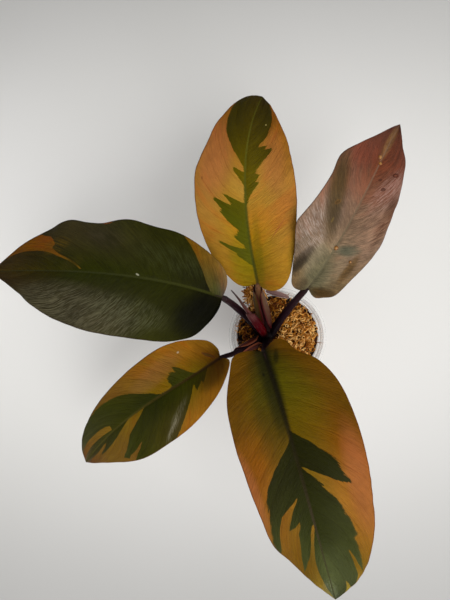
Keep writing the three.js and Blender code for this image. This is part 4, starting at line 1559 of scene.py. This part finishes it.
@dataclass
class Roots:
    """Root crown and wandering roots, hidden in the moss."""

    crown: Path3D = ((-11, 0, 57.4), (-11, 0, 54), (-10.5, 0, 50), (-9.5, 0, 46))
    crown_radii: tuple[float, ...] = (6, 5.8, 5, 2.4)
    root_radii: tuple[float, ...] = (1.7, 1.5, 1.3, 1, 0.6)
    count: int = 7

    def build(self) -> None:
        """Make and dress the roots, along the same paths as in the part's source."""
        even = np.linspace(0, 1, 30)
        shape = tube(spline_3d(self.crown), read_evenly(self.crown_radii, even), 32)
        for root in range(self.count):
            heading = 2 * math.pi * root / self.count + 0.4 * math.sin(3 * root)
            reach = 20 + 4 * math.cos(2.1 * root)
            drop = 34 + 5 * math.sin(1.7 * root)
            x, y = math.cos(heading), math.sin(heading)
            path = (
                (-10.5, 0, 53),
                (-10.5 + 7 * x, 7 * y, 50),
                (-6 + 0.6 * reach * x, 0.6 * reach * y, 44 - 0.2 * drop),
                (-2 + reach * x, reach * y, 46 - 0.6 * drop),
                (-1 + 0.8 * reach * x, 0.8 * reach * y, 46 - drop),
            )
            shape = shape.joined(tube(spline_3d(path), read_evenly(self.root_radii, even), 14))
        dress(shape.build("root_ball", [ROOT_SKIN.material("roots")]), "roots")


@dataclass
class Droplets:
    """Beads of nectar on the copper leaf, at (half, margin share, step along the vein, radius)."""

    leaf: LeafBlade
    beads: tuple[tuple[Half, float, float, float], ...] = (
        (Half.LEFT, 0.834, 0.17, 2.0),
        (Half.RIGHT, 0.824, 0.02, 1.7),
        (Half.RIGHT, 0.469, 0.02, 2.0),
        (Half.RIGHT, 0.374, 0.52, 1.3),
    )
    rings: int = 12
    sides: int = 28

    def material(self) -> bpy.types.Material:
        """Make the nectar, with a painted highlight that makes the top of a bead paler."""
        made, steps, shader = Surface(roughness=0.2, specular=0.4).material("nectar")
        _, up = steps.map_place("skin")
        tone = steps.ramp(steps.noise(steps.object_place(), 700, 1.0), ((0.3, "4e2608"), (0.7, "8a5420")))
        # Painted highlight: the top of each bead is paler.
        pale = steps.between(up, 0.62, 0.95)
        steps.put(shader.inputs["Base Color"], steps.mix(pale, tone, linear("94682e")))
        return made

    def bead(self, half: Half, share: float, step: float, radius: float) -> Shape:
        """Make one bead: a low dome that sits on the blade."""
        x, y = self.leaf.on_vein(half, np.array([share]), np.array([step]))
        centre, normal = self.leaf.place(x, y)[0], self.leaf.normal(x, y)[0]
        across = np.cross(normal, [0.2, 1.0, 0.1])
        across /= np.linalg.norm(across)
        other = np.cross(normal, across)
        lift = np.linspace(0, math.pi, self.rings)[:, None, None]
        angle = ring_angles(self.sides)[None, :, None]
        height = 0.25 + 0.55 * radius * -np.cos(lift)
        ring = radius * np.sin(lift).clip(0.02) * (across * np.cos(angle) + other * np.sin(angle))
        points = centre + normal * height + ring
        return Shape.grid(points, skin_map(self.rings, self.sides), closed=True, capped=True)

    def build(self) -> None:
        """Make and dress the beads."""
        shape, *others = (self.bead(*bead) for bead in self.beads)
        for other in others:
            shape = shape.joined(other)
        dress(shape.build("nectar_beads", [self.material()]), "blade_back_right")


# Moss


@dataclass(frozen=True)
class MossFinish:
    """Brown and golden moss, by strand and by place, with a painted pool of light on the right and painted
    shade round the stem.
    """

    black: str = "160a04"
    dark: str = "3a1a04"
    mid: str = "884709"
    gold: str = "c8821f"
    pale: str = "f8c878"
    # Middle of the painted shade round the stem.
    stem: tuple[float, float, float] = (-0.013, 0.0, 0.082)
    # Middle of the painted pool of light on the right.
    painted_light_spot: tuple[float, float, float] = (0.026, 0.004, 0.075)
    heap: tuple[float, float, float] = (-0.02, 0.038, 0.092)

    def material(self, name: str, shade: float) -> bpy.types.Material:
        """Make the material.

        Args:
            name: Name of the material.
            shade: How much darker than the strands it is, from 0 to 1.

        Returns:
            The material, which reads the strand's own tone where it has one.
        """
        made, steps, shader = Surface(roughness=0.82, specular=0.25).material(name)
        place = steps.object_place()
        tone = steps.read(steps.add("ShaderNodeAttribute", attribute_name="tone").outputs["Fac"])
        patch, fine = steps.noise(place, 70, 3.0, 0.6), steps.noise(place, 900, 2.0)
        blend = tone * 0.45 + patch * 0.75 + (fine - 0.5) * 0.35 - shade
        # Painted light: brighter near the lit spot on the right, a little darker away from it.
        blend = blend + steps.between(steps.far_from(place, self.painted_light_spot), 0.012, 0.05, (0.12, -0.08))
        blend = blend + steps.between(steps.far_from(place, self.heap), 0.006, 0.02, (0.3, 0.0))
        # Painted shade: darker round the stem.
        blend = blend + steps.between(steps.far_from(place, self.stem), 0.007, 0.017, (-0.7, 0.0))
        stops = ((0.2, self.black), (0.32, self.dark), (0.48, self.mid), (0.66, self.gold), (0.88, self.pale))
        steps.put(shader.inputs["Base Color"], steps.ramp(blend, stops))
        steps.put(shader.inputs["Normal"], steps.bump(fine, 0.3))
        return made


@dataclass
class Moss:
    """Moss plug, heaped over the rim at the back left: a lumpy body under a felt of curled strands."""

    floor: float = 3.0
    edge_height: float = 73.0
    crown: float = 4.0
    slope: float = 0.07
    dip: float = 6.0
    dip_width: float = 13.0
    stem: tuple[float, float] = (-11.0, 0.0)
    heap: tuple[float, float, float] = (-18.5, 35.5, 14.0)
    heap_width: float = 11.0
    tuft: tuple[float, float, float] = (-22.5, 41.5, 91.5)
    tuft_radii: tuple[float, float, float] = (9.0, 9.5, 7.0)
    edge_radius: float = 42.0
    floor_radius: float = 31.9
    rows: int = 50
    sides: int = 150
    finish: MossFinish = MossFinish()

    def height(self, x: np.ndarray, y: np.ndarray) -> np.ndarray:
        """Give the height of the moss, as in the part's source."""
        away = np.hypot(x, y) / self.edge_radius
        lumps = np.sin(x * 0.31 + 1.7) * np.cos(y * 0.27) + 0.6 * np.sin(x * 0.55 - y * 0.43)
        from_stem = np.hypot(x - self.stem[0], y - self.stem[1]) / self.dip_width
        from_heap = np.hypot(x - self.heap[0], y - self.heap[1]) / self.heap_width
        level = self.edge_height + self.crown * (1 - away**2) + self.slope * y + 0.8 * lumps
        return level - self.dip * np.exp(-(from_stem**2)) + self.heap[2] * np.exp(-(from_heap**2))

    def top(self, inset: float, drop: float) -> Shape:
        """Make the upper face, as a disc of rings."""
        radius = np.linspace(0.02, 1, self.rows)[:, None] * (self.edge_radius - inset)
        angle = ring_angles(self.sides)[None]
        x, y = radius * np.cos(angle), radius * np.sin(angle)
        lumps = 1.5 * ripples(np.stack([x, y], -1), 8, 3) - 0.5 * smooth(radius, 36, self.edge_radius)
        z = self.height(x, y) - drop + lumps
        return Shape.grid(np.stack([x, y, z], -1)[::-1], skin_map(self.rows, self.sides), closed=True)

    def side(self, inset: float, lift: float = 0.0) -> Shape:
        """Make the face that stands against the pot, from a lift above its floor."""
        up = np.linspace(lift / self.edge_height, 1, self.rows)[:, None]
        angle = ring_angles(self.sides)[None]
        radius = self.floor_radius + (self.edge_radius - self.floor_radius) * up - inset
        spot = np.stack([30 * np.cos(angle) + 0 * up, 30 * np.sin(angle) + 0 * up, 60 * up + 0 * angle], -1)
        radius = radius - 0.35 * (1 + ripples(spot, 7, 9)).clip(0)
        x, y = radius * np.cos(angle), radius * np.sin(angle)
        rim = self.height(x[-1], y[-1]) - 1.4
        z = self.floor + (rim[None] - self.floor) * up
        return Shape.grid(np.stack([x, y, z], -1), skin_map(self.rows, self.sides), closed=True)

    def lump(self, size: float) -> Shape:
        """Make the lump that hangs over the rim; size scales it."""
        rows, sides = 24, 36
        lift = np.linspace(0.04, math.pi - 0.04, rows)[:, None]
        angle = ring_angles(sides)[None]
        flat = np.sin(lift)
        ball = np.stack([flat * np.cos(angle), flat * np.sin(angle), -np.cos(lift) + 0 * angle], -1)
        ball *= np.array(self.tuft_radii) * size * (1 + 0.1 * ripples(ball, 0.9, 6))[..., None]
        turn = np.array(Matrix.Rotation(math.atan2(self.tuft[1], self.tuft[0]), 3, "Z"))
        return Shape.grid(ball @ turn.T + self.tuft, skin_map(rows, sides), closed=True, capped=True)

    def build(self) -> None:
        """Make and dress the body and the layers of strands."""
        wall = self.side(0.5)
        rings = np.stack([wall.points[: self.sides] * (share, share, 1) for share in (0.02, 0.5, 1)])
        floor = Shape.grid(rings, skin_map(len(rings), self.sides), closed=True)
        shape = self.top(0.3, 1.2).joined(wall).joined(floor).joined(self.lump(0.8))
        body = shape.build("moss_body", [self.finish.material("moss_body", 0.2)], weld=True)
        dress(body, "moss")
        strand_skin = self.finish.material("moss_strands", 0.0)
        for name, shape, count, flat in (
            ("moss_top_strands", self.top(3.0, 0.4), 1700, 0.0),
            ("moss_wall_strands", self.side(0.15, 8.0), 1400, 1.0),
            ("moss_tuft_strands", self.lump(0.82), 320, 0.15),
        ):
            piece = StrandLayer(name, count, flat, strand_skin).grow(shape.build(name, []))
            dress(piece, "moss")


STRAND_RADIUS = 0.55
STRAND_CURLS = (  # turns, inner radius, outer radius and rise
    (0.55, 1.4, 3.8, 2.2),
    (0.8, 2.0, 2.8, 4.2),
    (0.3, 3.6, 5.6, 2.0),
    (1.2, 1.0, 2.0, 3.6),
)


@dataclass
class StrandLayer:
    """Curled strands strewn over a surface by geometry nodes."""

    name: str
    count: int
    flat: float
    skin: bpy.types.Material
    seed: int = 4

    def tree(self) -> bpy.types.NodeTree:
        """Make the node tree, with its count, flatness and seed as inputs.

        Returns:
            The tree: points on the surface, a curl on each, made real and given the material.
        """
        tree = bpy.data.node_groups.new(self.name, "GeometryNodeTree")
        tree.interface.new_socket("Geometry", in_out="INPUT", socket_type="NodeSocketGeometry")
        for name, kind in (("Density", "Float"), ("Flatness", "Float"), ("Seed", "Int")):
            tree.interface.new_socket(name, in_out="INPUT", socket_type=f"NodeSocket{kind}")
        tree.interface.new_socket("Geometry", in_out="OUTPUT", socket_type="NodeSocketGeometry")
        steps = Steps(tree)
        start = steps.add("NodeGroupInput").outputs
        scatter = steps.add(
            "GeometryNodeDistributePointsOnFaces",
            {"Mesh": start["Geometry"], "Density": start["Density"], "Seed": start["Seed"]},
        )
        kinds = steps.add("GeometryNodeGeometryToInstance")
        for curl in STRAND_CURLS:
            tree.links.new(self.curl(steps, *curl), kinds.inputs[0])
        flatness = steps.read(start["Flatness"])
        lean = (1.0 - flatness) * 1.25
        tilt = steps.add(
            "FunctionNodeRandomValue",
            {0: steps.spread(lean * -1.0, lean * -1.0, -math.pi), 1: steps.spread(lean, lean, math.pi)},
            data_type="FLOAT_VECTOR",
        )
        thin = 1.0 - flatness * 0.85
        size = steps.add(
            "FunctionNodeRandomValue",
            {0: steps.spread(0.55, 0.55, thin * 0.6), 1: steps.spread(1.25, 1.25, thin * 1.2)},
            data_type="FLOAT_VECTOR",
        )
        turn = steps.add(
            "FunctionNodeRotateEuler",
            {0: scatter.outputs["Rotation"], 1: tilt.outputs[0]},
            rotation_type="EULER",
            space="LOCAL",
        )
        stand = steps.add(
            "GeometryNodeInstanceOnPoints",
            {
                "Points": scatter.outputs["Points"],
                "Instance": kinds.outputs[0],
                "Pick Instance": True,
                "Rotation": turn.outputs[0],
                "Scale": size.outputs[0],
            },
        )
        tone = steps.add("FunctionNodeRandomValue", data_type="FLOAT").outputs[1]
        toned = steps.add(
            "GeometryNodeStoreNamedAttribute",
            {"Name": "tone", "Geometry": stand.outputs[0], "Value": tone},
            domain="INSTANCE",
            data_type="FLOAT",
        )
        real = steps.add("GeometryNodeRealizeInstances", {0: toned.outputs[0]})
        cover = steps.add("GeometryNodeSetMaterial", {"Material": self.skin, "Geometry": real.outputs[0]})
        steps.add("NodeGroupOutput", {"Geometry": cover.outputs[0]})
        return tree

    @staticmethod
    def curl(steps: Steps, turns: float, inner: float, outer: float, rise: float) -> bpy.types.NodeSocket:
        """Add one curled strand, thinner at its ends.

        Args:
            steps: Steps of the tree.
            turns: Turns of the curl.
            inner: First radius.
            outer: Last radius.
            rise: Height of the curl.

        Returns:
            The strand's mesh.
        """
        spiral = steps.add(
            "GeometryNodeCurveSpiral",
            {
                "Resolution": max(7, round(9 * turns)),
                "Rotations": turns,
                "Start Radius": inner * MM,
                "End Radius": outer * MM,
                "Height": rise * MM,
            },
        )
        ring = steps.add("GeometryNodeCurvePrimitiveCircle", {"Resolution": 4, "Radius": STRAND_RADIUS * MM})
        along = steps.read(steps.add("GeometryNodeSplineParameter").outputs["Factor"])
        bow = along * (1.0 - along) * 2.6 + 0.4
        width = steps.add("GeometryNodeSetCurveRadius", {"Curve": spiral.outputs[0], "Radius": bow})
        mesh = steps.add(
            "GeometryNodeCurveToMesh",
            {"Curve": width.outputs[0], "Profile Curve": ring.outputs[0], "Fill Caps": True},
        )
        back = (-0.5 * (inner + outer) * MM, 0.0, -0.2 * rise * MM)
        moved = steps.add("GeometryNodeTransform", {"Translation": back, "Geometry": mesh.outputs[0]})
        return moved.outputs[0]

    def grow(self, base: bpy.types.Object) -> bpy.types.Object:
        """Grow the strands over a surface, which is then taken away.

        Args:
            base: Object whose mesh is the surface.

        Returns:
            The strands as one mesh object.
        """
        tree = self.tree()
        area = sum(polygon.area for polygon in base.data.polygons)
        modifier = base.modifiers.new("strands", "NODES")
        modifier.node_group = tree
        values = {"Density": self.count / area, "Flatness": self.flat, "Seed": self.seed}
        for item in tree.interface.items_tree:
            if item.in_out == "INPUT" and item.name in values:
                modifier[item.identifier] = values[item.name]
        bpy.context.view_layer.update()
        ready = base.evaluated_get(bpy.context.evaluated_depsgraph_get())
        mesh = bpy.data.meshes.new_from_object(ready)
        mesh.name = self.name
        mesh.polygons.foreach_set("use_smooth", np.ones(len(mesh.polygons), bool))
        base.modifiers.remove(modifier)
        base.data = mesh
        return base


# Pot


@dataclass
class Pot:
    """Clear pot, turned from a rounded profile."""

    height: float = 90.0
    wall: float = 0.8
    bead: float = 1.6
    rim_radius: float = 49.0
    foot_lift: float = 1.2
    outside: Pairs = (
        (0, 0), (8, 0), (9.2, 1.2), (25, 1.2), (26.2, 0), (31, 0), (33, 1.4),
        (43.4, 71), (44.8, 73), (45.4, 81), (46.4, 83), (46.7, 86.8),
    )
    segments: int = 168

    def profile(self) -> np.ndarray:
        """Give the closed outline of the wall, from the axis below to the axis above.

        Returns:
            Points of (radius, height), with the corners rounded.
        """
        inside = [
            (r - self.wall, z) if z > 2 * self.foot_lift else (r - self.wall / 2, z + self.wall)
            for r, z in reversed(self.outside[1:])
        ]
        angle = np.radians(np.linspace(-60, 175, 22))
        centre = (self.rim_radius - self.bead, self.height - self.bead)
        bead = np.stack([centre[0] + self.bead * np.cos(angle), centre[1] + self.bead * np.sin(angle)], -1)
        outer = self.rounded([*self.outside, tuple(bead[0])])
        inner = self.rounded([tuple(bead[-1]), *inside, (0.0, self.wall)])
        return np.concatenate([outer[:-1], bead, inner[1:]])

    @staticmethod
    def rounded(points: list[tuple[float, float]], radius: float = 0.8) -> np.ndarray:
        """Round the corners of a line of points.

        Args:
            points: Corners of (radius, height).
            radius: Distance from a corner at which its rounding starts.

        Returns:
            The rounded line.
        """
        corners = np.asarray(points, float)
        line = [corners[0]]
        for before, corner, after in zip(corners, corners[1:], corners[2:]):
            back, on = before - corner, after - corner
            start = corner + back * min(radius / np.linalg.norm(back), 0.45)
            end = corner + on * min(radius / np.linalg.norm(on), 0.45)
            for t in np.linspace(0, 1, 5):
                line.append((1 - t) ** 2 * start + 2 * (1 - t) * t * corner + t * t * end)
        line.append(corners[-1])
        return np.asarray(line)

    def material(self) -> bpy.types.Material:
        """Make the clear plastic, denser where it is seen edge on and faintly scuffed."""
        made, steps, shader = Surface(roughness=0.12, specular=0.6, ior=1.5).material("clear_plastic")
        place = steps.object_place()
        scuff = steps.between(steps.noise(place, 420, 3.0), 0.55, 0.75)
        steps.put(shader.inputs["Base Color"], steps.mix(scuff, linear("f2f4f3"), linear("ffffff")))
        facing = steps.add("ShaderNodeLayerWeight", {"Blend": 0.4}).outputs["Facing"]
        body = steps.between(facing, 0.2, 0.95, (0.02, 0.6))
        steps.put(shader.inputs["Alpha"], steps.math("ADD", body, scuff * 0.05, clamp=True))
        rubbed = steps.noise(place, 160, 2.0)
        steps.put(shader.inputs["Roughness"], steps.between(rubbed, 0.3, 0.7, (0.08, 0.2)))
        steps.put(shader.inputs["Normal"], steps.bump(steps.noise(place, 55, 1.0), 0.12))
        return made

    def build(self) -> None:
        """Make and dress the pot."""
        line = self.profile()
        line[0, 0] = line[-1, 0] = 0.02
        angle = ring_angles(self.segments)
        ring = np.stack([np.cos(angle), np.sin(angle)], -1)
        rise = np.repeat(line[:, None, 1:], self.segments, axis=1)
        points = np.concatenate([line[:, None, :1] * ring[None], rise], -1)
        shape = Shape.grid(points, skin_map(len(line), self.segments), closed=True, capped=True)
        dress(shape.build("clear_pot", [self.material()]), "pot")


# Setting


@dataclass(frozen=True)
class Setting:
    """Floor, lights and the photograph's viewpoint."""

    camera_height: float = 550.0
    lens: float = 27.06
    sensor: float = 36.0
    picture: tuple[int, int] = (450, 600)
    rim_at: tuple[float, float] = (277.0, 336.0)
    floor_size: float = 3.2
    floor_middle: tuple[float, float, float] = (-0.07, 0.075, 0.0)
    window: tuple[float, float, float] = (1.5, -1.5, 2.6)
    window_size: float = 2.4
    window_power: float = 80.0

    def build(self) -> None:
        """Make the floor, the lights and the camera."""
        self.floor()
        self.lights()
        self.camera()

    def floor(self) -> None:
        """Make a pale floor under the pot, with painted shade that darkens it away from the middle."""
        half = self.floor_size / 2 / MM
        spots = np.linspace(-half, half, 9)
        y, x = np.meshgrid(spots, spots, indexing="ij")
        shape = Shape.grid(np.stack([x, y, 0 * x], -1), {"skin": np.stack([x, y], -1) / half})
        material, steps, shader = Surface(roughness=0.8, specular=0.2).material("floor")
        place = steps.object_place()
        squeezed = steps.add("ShaderNodeVectorMath", {0: place, 1: (0.5, 1.0, 1.0)}, operation="MULTIPLY")
        away = steps.far_from(squeezed.outputs[0], self.floor_middle)
        tone = steps.ramp(steps.noise(place, 2.2, 2.0), ((0.3, "e9e7e2"), (0.7, "efede9")))
        # Painted shade: the floor's colour darkens away from the middle, as the light falls off.
        steps.put(shader.inputs["Base Color"], steps.scale(tone, steps.between(away, 0.1, 0.46, (1.0, 0.54))))
        shape.build("floor", [material])

    def lights(self) -> None:
        """Light the plant softly all round, but little from above, and from a window at the front right."""
        world = bpy.data.worlds.new("studio")
        world.use_nodes = True
        steps = Steps(world.node_tree)
        way = steps.split(steps.add("ShaderNodeTexCoord").outputs["Generated"])
        glow = steps.between(way[2], 0.55, 0.95, (1.0, 0.16))
        background = world.node_tree.nodes["Background"]
        background.inputs["Color"].default_value = linear("f8f9fb")
        steps.put(background.inputs["Strength"], glow * (way[0] * 0.2 + way[1] * -0.4 + 1.0))
        bpy.context.scene.world = world
        light = bpy.data.lights.new("window", "AREA")
        light.size = self.window_size
        light.energy = self.window_power
        lamp = bpy.data.objects.new("window", light)
        lamp.location = self.window
        away = np.array(self.window)
        lamp.rotation_euler = (math.acos(away[2] / np.linalg.norm(away)), 0.0, math.atan2(away[0], -away[1]))
        bpy.context.scene.collection.objects.link(lamp)

    def camera(self) -> None:
        """Look down from above the pot, turned so that the rim falls where the photograph has it."""
        lens = bpy.data.cameras.new("photo")
        lens.lens = self.lens
        lens.sensor_width = self.sensor
        lens.clip_start = 0.01
        eye = bpy.data.objects.new("photo", lens)
        wide, high = self.picture
        focal = self.lens / self.sensor * high
        to_rim = Vector(((self.rim_at[0] - wide / 2) / focal, -(self.rim_at[1] - high / 2) / focal, -1.0))
        turn = to_rim.rotation_difference(Vector((0.0, 0.0, -1.0))).to_matrix().to_4x4()
        eye.matrix_world = Matrix.Translation((0, 0, self.camera_height * MM)) @ turn
        bpy.context.scene.collection.objects.link(eye)
        bpy.context.scene.camera = eye
        bpy.context.scene.view_settings.view_transform = "Standard"


SHEATHS = (
    Sheath(
        node="sheath_back",
        slot="brown_sheath",
        path=(
            (-10.6, 9.6, 91.4), (-11.6, 14.5, 98.6), (-15.2, 30, 117), (-17.3, 41.5, 133), (-17.1, 45.6, 142),
        ),
        radii=(5.4, 6.4, 6.8, 6.6, 5.7, 4.4, 3.5),
        spread=(130, 164, 173, 174, 173, 160, 40),
        finish=BACK_SHEATH_SKIN,
        seed=2,
    ),
    Sheath(
        node="sheath_front_left",
        slot="brown_sheath",
        path=((-18.5, -4.6, 87.8), (-27, -9.6, 97), (-40, -16.2, 109.8)),
        radii=(5.2, 5.6, 5.4, 4.9, 4.2, 3.4),
        spread=(130, 168, 173, 170, 148, 50),
        finish=FRONT_SHEATH_SKIN,
        seed=5,
    ),
    Sheath(
        node="red_sheath",
        slot="red_sheath",
        path=((-12.4, 0.8, 93), (-15.2, 6.2, 104), (-20.5, 14.2, 117), (-27.2, 23.2, 135)),
        radii=(3.4, 3.8, 4.1, 4, 3.6, 3.2),
        spread=(175, 175, 174, 164, 120, 20),
        turn=-140.0,
        finish=RED_SHEATH_SKIN,
        seed=8,
    ),
    Sheath(
        node="fallen_sheath",
        slot="dry_sheath",
        path=((-11, 45.2, 94.6), (1, 42.6, 91), (13, 39.6, 83)),
        radii=(1, 2.2, 2.8, 2.6, 2, 1),
        spread=(60, 95, 110, 110, 90, 60),
        finish=DRY_SKIN,
        seed=13,
    ),
)
ROLLED = RolledLeaf(
    path=(
        (-12.5, 1, 93.5), (-16, 7.3, 106), (-20.5, 14.2, 117), (-28.1, 24.5, 138), (-33.9, 33.1, 156),
        (-38.7, 38.9, 170),
    ),
    radii=(1.8, 2.2, 2.5, 2.6, 2.5, 2.2, 1.8, 1.4, 1, 0.7, 0.5),
)


def rib_material(name: str, neck: str) -> bpy.types.Material:
    """Make the skin of necks and ribs, with the neck's colour at the stalk and paler along the blade."""
    made, steps, shader = Surface(roughness=0.5, specular=0.08).material(name)
    _, along = steps.map_place("vein")
    fine = steps.noise(steps.object_place(), 700, 2.0)
    tone = steps.ramp(along, ((0.03, neck), *RIB_SKIN_STOPS))
    grain = steps.ramp(fine, ((0.3, "c8c4c0"), (0.7, "ffffff")))
    steps.put(shader.inputs["Base Color"], steps.tint(tone, grain))
    steps.put(shader.inputs["Normal"], steps.bump(fine, 0.15))
    return made


def main() -> None:
    """Build every piece in order."""
    logging.basicConfig(level=logging.INFO, format="%(name)s %(message)s")
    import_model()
    Pot().build()
    Moss().build()
    Roots().build()
    Stem().build()
    skins = STALK_SKIN.material("stalk"), rib_material("leaf_rib", "2a1c1c")
    back_skins = BACK_STALK_SKIN.material("back_stalk"), rib_material("back_leaf_rib", "6c4830")
    for leaf in LEAVES:
        leaf.build(*(back_skins if leaf is BACK else skins))
    Droplets(BACK_RIGHT_LEAF).build()
    for sheath in SHEATHS:
        sheath.build()
    ROLLED.build()
    Setting().build()
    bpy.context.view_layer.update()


if __name__ == "__main__":
    main()
